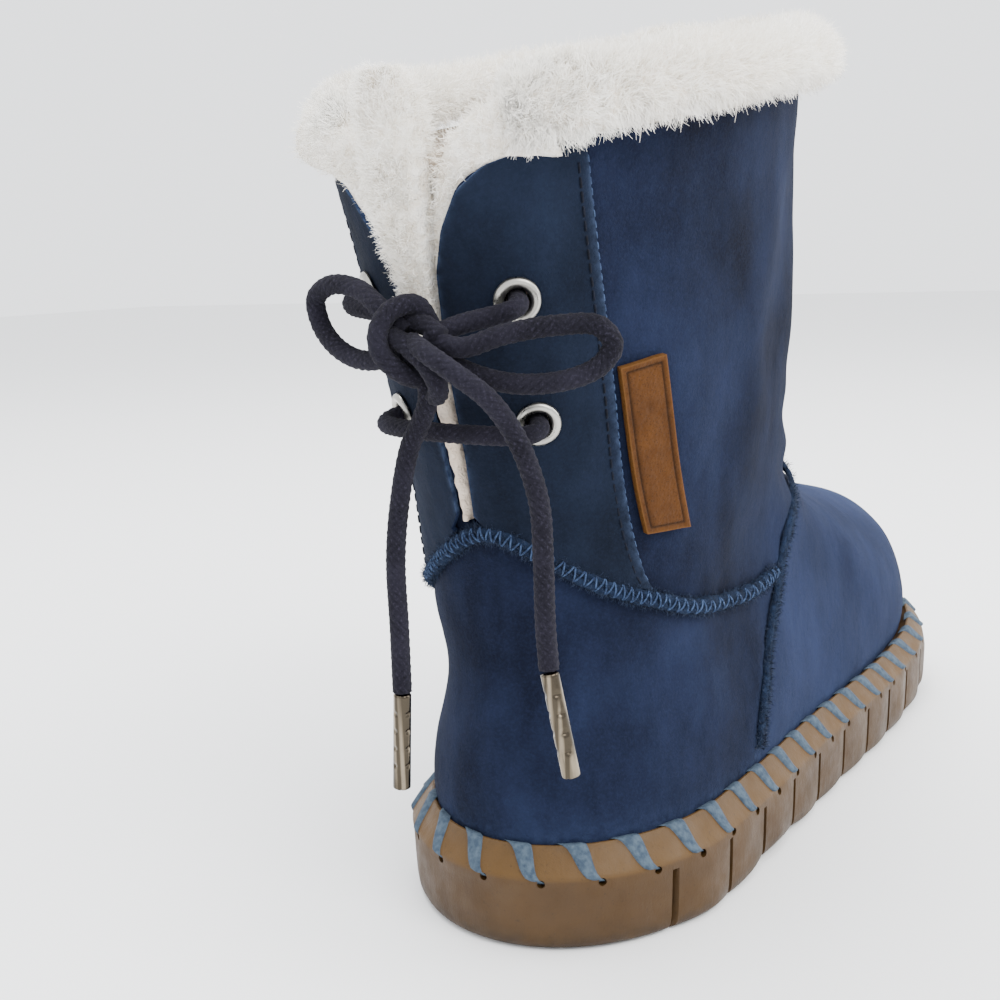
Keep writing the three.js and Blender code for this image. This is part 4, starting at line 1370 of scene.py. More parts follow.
@dataclass
class Upper:
    """The suede shell, open at the collar and down the slit."""

    form: BootForm
    courses: SeamCourses
    finishes: Finishes
    columns: int = 216
    foot_rows: int = 74
    shaft_rows: int = 44
    flap_rows: int = 22
    flap_level: float = 12.1
    slit_blend: float = 0.25
    edge_bevel: float = 0.0005
    eyelet_room: float = 0.0033

    def _rows(self) -> list[float]:
        """Returns the level of each row, closer together at the flaps' corners."""
        foot = self.form.level_at(0.0, self.form.slit_bottom)
        return [
            *np.linspace(0.0, foot, self.foot_rows, endpoint=False),
            *np.linspace(foot, self.flap_level, self.shaft_rows, endpoint=False),
            *np.linspace(self.flap_level, TOP_LEVEL, self.flap_rows),
        ]

    def _shell(self, bm: bmesh.types.BMesh) -> None:
        """Adds the upper's face to a mesh, split by the slit."""
        rows = self._rows()
        foot = self.form.level_at(0.0, self.form.slit_bottom) + 1e-4
        edges = []
        for level in rows:
            outer = self.form.slit_turn(level, Side.LATERAL)
            inner = self.form.slit_turn(level, Side.MEDIAL)
            edges.append((-inner, inner) if level <= foot else (outer, inner))
        last = len(rows) - 1

        def place(u: float, v: float) -> Vector:
            i = round(v * last)
            outer, inner = edges[i]
            opened = outer * (1 - smooth(u / self.slit_blend))
            turn = u + opened - inner * (1 - smooth((1 - u) / self.slit_blend))
            return self.form.upper_point(rows[i], turn)

        add_grid(bm, self.columns, last, place)

    def build(self, eyelets: Sequence["EyeletPlace"]) -> bpy.types.Object:
        """Builds the shell, creased, with its wall.

        Args:
            eyelets: Where the eyelets pierce it.

        Returns:
            The piece.
        """
        bm = new_mesh("fade_and_highlight", "wear", "shade")
        self._shell(bm)
        weld(bm)
        bm.normal_update()
        points = np.array([vert.co for vert in bm.verts])
        push = crease_relief(points)
        seams = self._seam_distance(points)
        fade_and_highlight, wear, shade = value_layers(bm, "fade_and_highlight", "wear", "shade")
        for vert, relief, (ankle, vamp) in zip(bm.verts, push, seams):
            broad = noise.noise(vert.co * 32) * 0.0007 + noise.noise(vert.co * 75) * 0.00035
            pucker = noise.noise(vert.co * 260) * 0.0004 * math.exp(-min(ankle, vamp) / 0.006)
            tuck = -0.0006 * bell(ankle / 0.004) - 0.0008 * bell(vamp / 0.003)
            rim_fade = min(1.0, (vert.co.z - 0.021) / 0.006)
            vert.co += vert.normal * (relief + broad + pucker + tuck) * max(rim_fade, 0.0)
            in_front = vert.co.y - self._vamp_line(vert.co.z)
            low = vert.co.z < self._ankle_line(vert.co.y)
            vert[fade_and_highlight] = 0.05 + 0.2 * smooth(in_front / 0.01 + 0.5) if low else 0.0
            # Painted highlight: the top of the toe is made paler.
            toe_top_highlight = smooth((vert.co.y - 0.1) / 0.1) * smooth((vert.co.z - 0.045) / 0.03)
            vert[fade_and_highlight] += 0.45 * toe_top_highlight
            by_sole = math.exp(-(vert.co.z - 0.022) / 0.003)
            vert[wear] = 0.4 * bell(vamp / 0.0022) + 0.3 * by_sole
            above = 0.25 * math.exp(-ankle / 0.004)
            vert[shade] = 0.5 * bell(ankle / 0.004) if low else above
        open_holes(bm, [eyelet.foot for eyelet in eyelets], self.eyelet_room)
        piece = settle(
            bm,
            "upper_suede",
            Slot.SUEDE,
            [self.finishes.suede, self.finishes.fleece, self.finishes.suede_edge],
            ["upper"],
        )
        thicken(piece, self.form.wall, outward=False, bevel=self.edge_bevel)
        return piece

    def _ankle_line(self, y: float) -> float:
        """Returns the height of the ankle seam at a distance along Y."""
        far, reach = self.form.foot_length, self.form.foot_heel_reach
        rows = [(point.along * far - reach, point.up) for point in self.courses.ankle]
        rows.append((rows[-1][0] + 0.02, 0.43))
        return line_value(rows, y) * self.form.shaft_height

    def _vamp_line(self, z: float) -> float:
        """Returns the distance along Y of the toe panel's seam at a height."""
        rows = [(p.up * self.form.shaft_height, p.along) for p in self.courses.vamp]
        return line_value(rows, z) * self.form.foot_length - self.form.foot_heel_reach

    def _seam_distance(self, points: np.ndarray) -> np.ndarray:
        """Returns how far each point is from the ankle seam and from the toe panel's seam."""
        columns = []
        for places in (self.courses.ankle_places(), self.courses.vamp_places()):
            stops = (self.courses.along(places, k / 160) for k in range(161))
            line = np.array([self.form.upper_point(*stop) for stop in stops])
            away = np.full(len(points), np.inf)
            for stop in line:
                away = np.minimum(away, np.linalg.norm(points - stop, axis=1))
            columns.append(away)
        return np.stack(columns, axis=1)


class StitchRow(NamedTuple):
    """A row of stitches: its inset from the panel's edge, its height, its stitch and its thread."""

    name: str
    inset: float
    lift: float
    stitch: float
    pale: bool


@dataclass
class EyeletPanels:
    """The second layer of suede on each side of the slit, stitched along its front edge."""

    form: BootForm
    courses: SeamCourses
    finishes: Finishes
    columns: int = 44
    rows: int = 78
    eyelet_room: float = 0.0033
    stitch_gap: float = 0.0008
    thread_radius: float = 0.00026
    stitch_rows: tuple[StitchRow, ...] = (
        StitchRow("topstitch", 0.0019, 0.0015, 0.0021, False),
        StitchRow("edge_thread", -0.0003, 0.0005, 0.0014, True),
    )

    def build(self, side: Side, eyelets: Sequence["EyeletPlace"]) -> bpy.types.Object:
        """Builds one panel.

        Args:
            side: The side that it is on.
            eyelets: Where the eyelets pierce it.

        Returns:
            The piece.
        """
        lowest = [self.form.place_at(-0.0065, 0.0795).level, self.form.level_at(0.0, 0.0985)]
        lift = self.form.clearance
        bm = new_mesh("fade_and_highlight", "wear", "shade")
        fade_and_highlight, wear, shade = value_layers(bm, "fade_and_highlight", "wear", "shade")

        def place(u: float, v: float) -> Vector:
            start = lowest[1] + (lowest[0] - lowest[1]) * u
            level = start + (TOP_LEVEL - start) * v
            inner = self.form.slit_turn(level, side, 0.0002)
            outer = self.courses.panel_turn(level)
            turn = side.value * (inner + (outer - inner) * u)
            return self.form.on_upper(Place(level, turn), lift)

        verts = add_grid(bm, self.columns, self.rows, place)
        for index, vert in enumerate(verts):
            u = (index % (self.columns + 1)) / self.columns
            edge = sum(math.exp(-(away * self.columns / 0.9)) for away in (1 - u, u))
            vert[wear] = min(0.8, 0.6 * edge)
            vert[fade_and_highlight] = 0.05
            vert[shade] = 0.0
        bm.normal_update()
        for vert in verts:
            soft = noise.noise(vert.co * 75 + Vector((3, 1, 2))) * 0.00045
            soft += noise.noise(vert.co * 190) * 0.00018
            vert.co += vert.normal * soft * side.value
        open_holes(bm, [eyelet.foot for eyelet in eyelets], self.eyelet_room)
        if side is Side.MEDIAL:
            bmesh.ops.reverse_faces(bm, faces=bm.faces)
        name = side.name.lower()
        materials = [self.finishes.panel, self.finishes.panel, self.finishes.suede_edge]
        piece = settle(bm, f"eyelet_panel_{name}", Slot.SUEDE_DARK, materials, [f"eyestay_{name}"])
        thicken(piece, self.form.panel_thickness, outward=True, bevel=0.0003)
        return piece

    def stitches(self, side: Side, row: StitchRow) -> bpy.types.Object:
        """Builds a row of stitches along a panel's front edge.

        Args:
            side: The side that they are on.
            row: Which of the rows.

        Returns:
            The piece.
        """
        bm = new_mesh()
        low = self.form.place_at(-0.0065, 0.0815).level
        levels = np.linspace(low, TOP_LEVEL - 0.15, 121)
        turns = [self.courses.panel_turn(level, -row.inset) for level in levels]
        line = [
            self.form.upper_point(level, side.value * turn) for level, turn in zip(levels, turns)
        ]
        along = lengths_along(np.array(line))
        pitch = row.stitch + self.stitch_gap
        for k in range(int(along[-1] / pitch)):
            arch = []
            for share in (0.0, 0.12, 0.5, 0.88, 1.0):
                at = (k + 0.1) * pitch + share * row.stitch
                level, turn = (float(np.interp(at, along, values)) for values in (levels, turns))
                place = Place(level, side.value * turn)
                rise = self.thread_radius * (-1.2 if share in (0.0, 1.0) else 0.5)
                arch.append(self.form.on_upper(place, row.lift + rise))
            add_tube(bm, arch, lambda u, v: self.thread_radius, 6)
        weld(bm)
        thread = self.finishes.pale_thread if row.pale else self.finishes.dark_thread
        return settle(bm, f"panel_{row.name}_{side.name.lower()}", Slot.SEAM, [thread])


@dataclass
class RaisedSeams:
    """The overlocked seam round the ankle and the toe panel's seam, with their thread and nap."""

    form: BootForm
    courses: SeamCourses
    finishes: Finishes
    radius: float = 0.0020
    rise: float = 0.3
    ridge_sides: int = 12
    zigzag_pitch: float = 0.0031
    thread_radius: float = 0.00023
    hair_length: float = 0.0014

    def _frame(self, places: Sequence[Place], share: float) -> tuple[Vector, Vector, Vector]:
        """Finds a course's middle, outward and crosswise directions.

        Args:
            places: The course.
            share: The share of it.

        Returns:
            The point on the upper, the outward direction and the direction across the course.
        """
        place = self.courses.along(places, share)
        ahead = self.form.upper_point(*self.courses.along(places, min(share + 0.003, 1.0)))
        behind = self.form.upper_point(*self.courses.along(places, max(share - 0.003, 0.0)))
        outward = self.form.upper_normal(*place)
        across = outward.cross((ahead - behind).normalized()).normalized()
        return self.form.upper_point(*place), outward, across

    def _length(self, places: Sequence[Place]) -> float:
        """Returns a course's length."""
        line = [self.form.upper_point(*self.courses.along(places, k / 200)) for k in range(201)]
        return sum((b - a).length for a, b in zip(line, line[1:]))

    def ridge(
        self, name: str, node: str, places: Sequence[Place], height: float
    ) -> bpy.types.Object:
        """Builds the raised band of suede edges along a course.

        Args:
            name: The piece's name.
            node: The solid that it stands for.
            places: The course.
            height: How high it stands as a share of its radius.

        Returns:
            The piece.
        """
        rows = round(self._length(places) / 0.0009)
        frames = [self._frame(places, k / rows) for k in range(rows + 1)]
        bm = new_mesh("fade_and_highlight", "wear", "shade")
        fade_and_highlight, wear, shade = value_layers(bm, "fade_and_highlight", "wear", "shade")

        def place(u: float, v: float) -> Vector:
            middle, outward, across = frames[round(v * rows)]
            angle = math.pi * (1.12 * u - 0.06)
            end = min(1.0, 12 * v + 0.35, 12 * (1 - v) + 0.35)
            base = middle + outward * self.radius * (self.rise * height - 0.15)
            bumpy = noise.noise(middle * 420 + Vector((0, 0, u * 3)))
            fluff = noise.noise((middle + across * (u * 0.004)) * 900)
            size = self.radius * end * (1 + 0.16 * bumpy + 0.1 * fluff)
            split = 1 - 0.3 * math.exp(-(((u - 0.5) / 0.09) ** 2))
            tall = height * split * math.sin(angle)
            return base + across * size * math.cos(angle) + outward * size * tall

        for vert in add_grid(bm, self.ridge_sides, rows, place):
            vert[fade_and_highlight] = 0.15 + 0.4 * noise.noise(vert.co * 300)
            vert[wear] = 0.35
            vert[shade] = 0.0
        bm.normal_update()
        middle, outward, _ = frames[rows // 2]
        crown = middle + outward * self.radius
        nearest = min(bm.faces, key=lambda face: (face.calc_center_median() - crown).length)
        if nearest.normal.dot(outward) < 0:
            bmesh.ops.reverse_faces(bm, faces=bm.faces)
        return settle(bm, name, Slot.SEAM, [self.finishes.seam], [node])

    def overlock(
        self, name: str, places: Sequence[Place], start: float, end: float
    ) -> bpy.types.Object:
        """Builds the zigzag thread over a ridge.

        Args:
            name: The piece's name.
            places: The course.
            start: The share of the course where it starts.
            end: The share where it ends.

        Returns:
            The piece.
        """
        turns = round(self._length(places) * (end - start) / self.zigzag_pitch)
        bm = new_mesh()
        reach = self.radius * 0.95
        for k in range(turns * 2):
            down = k % 2 == 0
            jitter = 0.35 * noise.noise(Vector((k * 1.7, 0.3, 0.1)))
            leg = []
            for step in range(6):
                s = step / 5
                share = start + (end - start) * (k + s * 0.86 + jitter * 0.3) / (turns * 2)
                middle, outward, across = self._frame(places, min(max(share, 0.0), 1.0))
                swing = (0.5 - s if down else s - 0.5) * 2 * (0.86 + 0.3 * jitter)
                height = math.sqrt(max(0.0, 1 - swing * swing)) * 0.92 + 0.2
                leg.append(middle + across * reach * swing + outward * self.radius * height)
            add_tube(bm, leg, lambda u, v: self.thread_radius, 5)
        weld(bm)
        return settle(bm, name, Slot.SEAM, [self.finishes.pale_thread])

    def nap(
        self, name: str, places: Sequence[Place], count: int, height: float, seed: int
    ) -> bpy.types.Object:
        """Grows the fuzz of loose suede fibres along a seam.

        Args:
            name: The piece's name.
            places: The course.
            count: How many hairs.
            height: How high the ridge stands as a share of its radius.
            seed: Starts the random numbers.

        Returns:
            The piece.
        """
        rng = np.random.default_rng(seed)
        roots, leans, tips, skins = [], [], [], []
        for share, angle in zip(rng.random(count), rng.uniform(-0.15, 1.15, count) * math.pi):
            middle, outward, across = self._frame(places, float(share))
            skin = across * math.cos(angle) + outward * math.sin(angle)
            root = middle + outward * self.radius * 0.1
            root += across * self.radius * 0.9 * math.cos(angle)
            root += outward * self.radius * height * 0.9 * math.sin(angle)
            length = self.hair_length * rng.uniform(0.5, 1.3)
            stray = Vector(rng.normal(0, 0.5, 3))
            roots.append(root)
            skins.append(skin)
            leans.append(skin * length)
            tips.append(root + (skin + stray).normalized() * length)
        blades = Blades(root_width=0.00016, tip_width=0.00006, stages=2, curl=0.0002)
        arrays = (np.array(rows) for rows in (roots, leans, tips, skins))
        mesh = blades.grow(name, *arrays, seed)
        return adopt(mesh, name, Slot.SEAM, [self.finishes.nap])


class EyeletPlace(NamedTuple):
    """Where an eyelet stands and which way it faces."""

    name: str
    foot: Vector
    out: Vector


@dataclass
class Eyelets:
    """Four nickel eyelets, each a tube with a rolled lip."""

    form: BootForm
    finishes: Finishes
    radius: float = 0.0049
    hole_radius: float = 0.0026
    tube_wall: float = 0.0005
    lip: float = 0.0012
    turns: int = 56
    across: tuple[tuple[str, float, float], ...] = (
        ("eyelet_lateral_upper", 0.0152, 0.146),
        ("eyelet_lateral_lower", 0.0148, 0.120),
        ("eyelet_medial_upper", -0.0206, 0.148),
        ("eyelet_medial_lower", -0.0182, 0.121),
    )

    def places(self) -> list[EyeletPlace]:
        """Returns where the eyelets stand."""
        found = []
        for name, across, height in self.across:
            place = self.form.place_on_back(across, height)
            foot, out = self.form.upper_point(*place), self.form.upper_normal(*place)
            found.append(EyeletPlace(name, foot, out))
        return found

    @property
    def seat(self) -> float:
        """Returns how far off the upper the lip starts."""
        return self.form.panel_thickness + 2 * self.form.clearance

    def build(self, place: EyeletPlace) -> bpy.types.Object:
        """Builds one eyelet by spinning its profile.

        Args:
            place: Where it stands.

        Returns:
            The piece.
        """
        inner = -self.form.wall - self.form.clearance - 0.00042
        middle = (self.radius + self.hole_radius) / 2
        half = (self.radius - self.hole_radius) / 2
        profile = [(self.hole_radius, inner - 0.0004)]
        profile.append((self.radius - 0.0009, inner - 0.0004))
        profile.append((self.radius - 0.0007, inner))
        profile.append((self.hole_radius + self.tube_wall, inner))
        profile.append((self.hole_radius + self.tube_wall, self.seat))
        for k in range(13):
            angle = math.pi * k / 12
            height = self.seat + self.lip * math.sin(angle) ** 0.8
            profile.append((middle + half * math.cos(angle), height))
        bm = new_mesh()
        verts = [bm.verts.new((radius, 0.0, height)) for radius, height in profile]
        edges = [bm.edges.new(pair) for pair in zip(verts, [*verts[1:], verts[0]])]
        bmesh.ops.spin(
            bm,
            geom=[*verts, *edges],
            cent=(0, 0, 0),
            axis=(0, 0, 1),
            angle=2 * math.pi,
            steps=self.turns,
            use_merge=True,
        )
        weld(bm, 1e-7)
        bmesh.ops.recalc_face_normals(bm, faces=bm.faces)
        bm.transform(stand(place.foot, place.out))
        return settle(bm, place.name + "_ring", Slot.EYELET, [self.finishes.nickel], [place.name])


@dataclass
class Label:
    """The bare leather label, tucked into the outer panel's seam."""

    form: BootForm
    courses: SeamCourses
    finishes: Finishes
    bottom: float = 0.0926
    length: float = 0.0381
    width: float = 0.0116
    thickness: float = 0.0016
    border: float = 0.0014
    columns: int = 26
    rows: int = 84

    def build(self) -> bpy.types.Object:
        """Builds the label with a pressed border line.

        Returns:
            The piece.
        """
        bm = new_mesh("pressed", "cut")
        pressed, cut = value_layers(bm, "pressed", "cut")
        low, high = (
            (self.courses.panel[k].along * self.form.foot_length - self.form.foot_heel_reach,
             self.courses.panel[k].up * self.form.shaft_height)
            for k in (1, 3)
        )
        relief: dict[tuple[int, int], float] = {}

        def place(u: float, v: float) -> Vector:
            z = self.bottom + self.length * v
            rear = low[0] + (high[0] - low[0]) * (z - low[1]) / (high[1] - low[1])
            rear += 5 * self.form.clearance + 0.0012 * (1 - v)
            y = rear + self.width * (0.93 - 0.1 * v) * u
            sideways = min(u, 1 - u) * self.width
            lengthways = min(v, 1 - v) * self.length
            line = abs(min(sideways, lengthways) - self.border)
            groove = math.exp(-((line / 0.00028) ** 2))
            curl = 0.0004 * smooth((u - 0.75) / 0.25)
            lift = 2 * self.form.clearance + self.thickness - 0.00035 * groove + curl
            relief[round(u * self.columns), round(v * self.rows)] = groove
            return self.form.on_upper(self.form.place_at(y, z + 0.0022 * v * u), lift)

        verts = add_grid(bm, self.columns, self.rows, place)
        for index, vert in enumerate(verts):
            column, row = index % (self.columns + 1), index // (self.columns + 1)
            vert[pressed] = 0.75 * relief[column, row]
            on_edge = column in (0, self.columns) or row in (0, self.rows)
            vert[cut] = 0.9 if on_edge else 0.0
        piece = settle(bm, "label_leather", Slot.LEATHER, [self.finishes.leather], ["label"])
        thicken(piece, self.thickness, outward=False, bevel=0.00025)
        return piece


class SoleLayer(NamedTuple):
    """One line round the sole: its inset, height and bulge in millimetres, and how pale its painted
    highlight makes it.
    """

    inset: float
    height: float
    bulge: float
    pale: float


@dataclass
class Outsole:
    """The gum rubber sole, cut by flex grooves and pierced for the whip stitches."""

    form: BootForm
    finishes: Finishes
    turns: int = 420
    lug_bulge: float = 1.1
    groove_count: int = 12
    groove_width: float = 0.0017
    slot_depth: float = 0.0026
    slot_top: float = 0.0156
    cross_depth: float = 0.0045
    arch_rise: float = 0.0016
    arch_start: float = 0.006
    arch_end: float = 0.062
    hole_radius: float = 0.00105
    hole_depth: float = 0.005
    beyond: float = 0.005
    edge_bevel: float = 0.0003
    layers: tuple[SoleLayer, ...] = (
        SoleLayer(30, 0, 0, 0),
        SoleLayer(18, 0, 0, 0),
        SoleLayer(8, 0, 0, 0),
        SoleLayer(3.6, 0, 0, 0),
        SoleLayer(2.4, 0.25, 0.3, 0),
        SoleLayer(1.3, 1.0, 0.7, 0),
        SoleLayer(0.8, 2.1, 1, 0),
        SoleLayer(0.6, 4.0, 1, 0),
        SoleLayer(0.45, 7.5, 1, 0),
        SoleLayer(0.35, 11.0, 1, 0),
        SoleLayer(0.3, 13.6, 1, 0),
        SoleLayer(0.2, 15.6, 0.6, 0.1),
        SoleLayer(0.05, 17.0, 0.15, 0.2),
        SoleLayer(0.15, 17.7, 0, 0.75),
        SoleLayer(0.6, 18.4, 0, 0.9),
        SoleLayer(2.4, 20.9, 0, 0.8),
        SoleLayer(4.2, 23.3, 0, 0.85),
        SoleLayer(4.7, 23.75, 0, 1),
        SoleLayer(5.2, 23.7, 0, 1),
        SoleLayer(5.7, 23.0, 0, 0.5),
        SoleLayer(8, 21.8, 0, 0),
        SoleLayer(30, 21.6, 0, 0),
    )

    def _lift(self, y: float, z: float) -> float:
        """Returns how far the arch lifts a point of the lugs off the ground."""
        arch = min(max((y - self.arch_start) / (self.arch_end - self.arch_start), 0.0), 1.0)
        return self.arch_rise * math.sin(math.pi * arch) ** 2 * (1 - smooth((z - 0.003) / 0.01))

    def _surface(self) -> bmesh.types.BMesh:
        """Returns the uncut sole."""
        bm = new_mesh("bevel", "low_dark_and_rim_shade")
        bevel, low_dark_and_rim_shade = value_layers(bm, "bevel", "low_dark_and_rim_shade")
        last = len(self.layers) - 1

        def place(u: float, v: float) -> Vector:
            layer = self.layers[round(v * last)]
            inset, height, bulge = (
                size * MILLIMETRE for size in (layer.inset, layer.height, layer.bulge)
            )
            point = self.form.sole_point(u, inset, height, bulge * self.lug_bulge)
            point.z += self._lift(point.y, height)
            return point

        verts = add_grid(bm, self.turns, last, place)
        for index, vert in enumerate(verts):
            layer = self.layers[index // (self.turns + 1)]
            # Painted highlight: the sole's upper rim is made paler.
            vert[bevel] = layer.pale * 0.75
            # Darker towards the ground, and painted shade at the top where the upper sits on the
            # sole.
            low, high = smooth(1 - layer.height / 6), smooth((layer.height - 20) / 4)
            vert[low_dark_and_rim_shade] = 0.75 * low + 0.25 * high
        close(bm)
        return bm

    def _core(self) -> bmesh.types.BMesh:
        """Returns what the grooves leave uncut in the sole's middle."""
        bm = bmesh.new()
        bm.loops.layers.uv.new("UVMap")
        rim = self.form.sole_side_height + self.form.rim_rise
        heights = (self.cross_depth, rim + self.beyond)

        def place(u: float, v: float) -> Vector:
            return self.form.sole_point(u, self.slot_depth, heights[round(v)])

        add_grid(bm, 160, 1, place)
        close(bm)
        return bm

    def build(self, holes: Sequence[tuple[Vector, Vector]]) -> bpy.types.Object:
        """Builds the sole.

        Args:
            holes: Where each stitch enters the rubber, and the direction in.

        Returns:
            The piece.
        """
        rubber = [self.finishes.rubber]
        piece = settle(self._surface(), "outsole_rubber", Slot.RUBBER, rubber, ["outsole"])
        slabs = bmesh.new()
        for k in range(self.groove_count):
            y = GROOVE_START + k * GROOVE_PITCH
            top = self.slot_top + self.form.spring(y)
            wide, high = self.form.sole_ball_width * 1.5, top + self.beyond
            size = Matrix.Diagonal((wide, self.groove_width, high, 1.0))
            middle = Matrix.Translation((0, y, (top - self.beyond) / 2))
            bmesh.ops.create_cube(slabs, size=1.0, matrix=middle @ size)
        slots = link("slots", to_mesh(slabs, "slots"))
        carve(slots, self._core())
        cutter = bmesh.new()
        cutter.from_mesh(slots.data)
        bpy.data.objects.remove(slots)
        for point, inward in holes:
            bmesh.ops.create_cone(
                cutter,
                cap_ends=True,
                segments=12,
                radius1=self.hole_radius,
                radius2=self.hole_radius * 0.8,
                depth=self.hole_depth,
                matrix=stand(point, inward),
            )
        carve(piece, cutter)
        edge = piece.modifiers.new("edge", "BEVEL")
        edge.width = self.edge_bevel
        edge.segments = 1
        edge.limit_method = "ANGLE"
        edge.angle_limit = math.radians(50)
        for polygon in piece.data.polygons:
            polygon.use_smooth = True
        piece.data.set_sharp_from_angle(angle=math.radians(42))
        return piece


class StitchStep(NamedTuple):
    """A step of a whip stitch, from its hole up: inset and height in millimetres, and its rise."""

    inset: float
    height: float
    rise: float


@dataclass
class WhipStitches:
    """The flat thread that sews the upper to the sole all round."""

    form: BootForm
    finishes: Finishes
    count: int = 46
    first: float = -0.0019
    lean: float = 0.0082
    top_width: float = 0.0064
    hole_width: float = 0.0025
    thickness: float = 0.0009
    hole_height: float = 0.0167
    ribs: int = 5
    rib_depth: float = 0.00009
    columns: int = 8
    rows: int = 12
    steps: tuple[StitchStep, ...] = (
        StitchStep(0.5, 16.6, -1.2),
        StitchStep(0.05, 17.3, 0.2),
        StitchStep(0.0, 18.0, 0.55),
        StitchStep(0.9, 18.9, 0.75),
        StitchStep(2.4, 20.9, 0.85),
        StitchStep(3.9, 23.0, 0.85),
        StitchStep(4.5, 23.9, 0.7),
        StitchStep(5.0, 24.1, 0.3),
        StitchStep(5.6, 23.9, -0.6),
    )

    def _turn_table(self) -> tuple[np.ndarray, np.ndarray]:
        """Returns turns round the sole and how far along its edge each lies."""
        turns = np.linspace(-0.1, 1.1, 2401)
        line = np.array([self.form.sole_point(t, 0.0, self.form.sole_side_height) for t in turns])
        along = lengths_along(line)
        along -= np.interp(0.0, turns, along)
        return turns, along

    def places(self) -> list[tuple[float, float]]:
        """Returns the turns of each stitch's hole and of its top end."""
        turns, along = self._turn_table()
        around = float(np.interp(1.0, turns, along))
        found = []
        for k in range(self.count):
            s = self.first + around * k / self.count
            hole = float(np.interp(s, along, turns))
            found.append((hole, float(np.interp(s - self.lean, along, turns))))
        return found

    def holes(self) -> list[tuple[Vector, Vector]]:
        """Returns where each stitch enters the rubber, and the direction in."""
        found = []
        for hole, _ in self.places():
            point = self.form.sole_point(hole, 0.0003, self.hole_height)
            inside = self.form.sole_point(hole, 0.004, self.hole_height)
            found.append((point, (inside - point).normalized()))
        return found

    def build(self) -> bpy.types.Object:
        """Builds the stitches as one piece.

        Returns:
            The piece.
        """
        bm = new_mesh()
        turns, along = self._turn_table()
        last = len(self.steps) - 1
        columns = [list(enumerate(values)) for values in zip(*self.steps)]
        for hole, top in self.places():
            hole_along = float(np.interp(hole, turns, along))
            top_along = float(np.interp(top, turns, along))

            def place(u: float, v: float) -> Vector:
                inset, height, rise = (line_value(column, v * last) for column in columns)
                grown = smooth(v * 1.15 - 0.05)
                width = self.hole_width + (self.top_width - self.hole_width) * grown
                width *= 0.62 if v < 0.06 else 1.0
                middle = hole_along + (top_along - hole_along) * v
                turn = float(np.interp(middle + (u - 0.5) * width, along, turns))
                point = self.form.sole_point(turn, inset * MILLIMETRE, height * MILLIMETRE)
                beyond = (inset - 1) * MILLIMETRE, (height + 0.5) * MILLIMETRE
                outer = self.form.sole_point(turn, *beyond)
                dome = math.sqrt(max(0.0, 1 - (2 * u - 1) ** 4))
                ribs = self.rib_depth * math.cos(u * math.pi * 2 * self.ribs) * dome
                lift = self.thickness * (rise * dome - 0.35 * (1 - dome)) + ribs
                return point + (outer - point).normalized() * lift

            add_grid(bm, self.columns, self.rows, place)
        bm.normal_update()
        outward = sum(
            face.normal.xy.dot(face.calc_center_median().xy) > 0 for face in bm.faces
        )
        if outward < len(bm.faces) / 2:
            bmesh.ops.reverse_faces(bm, faces=bm.faces)
        return settle(bm, "whip_stitches", Slot.SEAM, [self.finishes.whip_thread])


class CuffSection(NamedTuple):
    """A section of the collar's fur: where it is on the rim, and its offset and size in shares."""

    turn: float
    out: float
    up: float
    size: float


class ColumnSection(NamedTuple):
    """A section of the fur in the slit, as shares of the slit's width, the wall and the shaft."""

    half: float
    depth: float
    out: float
    up: float


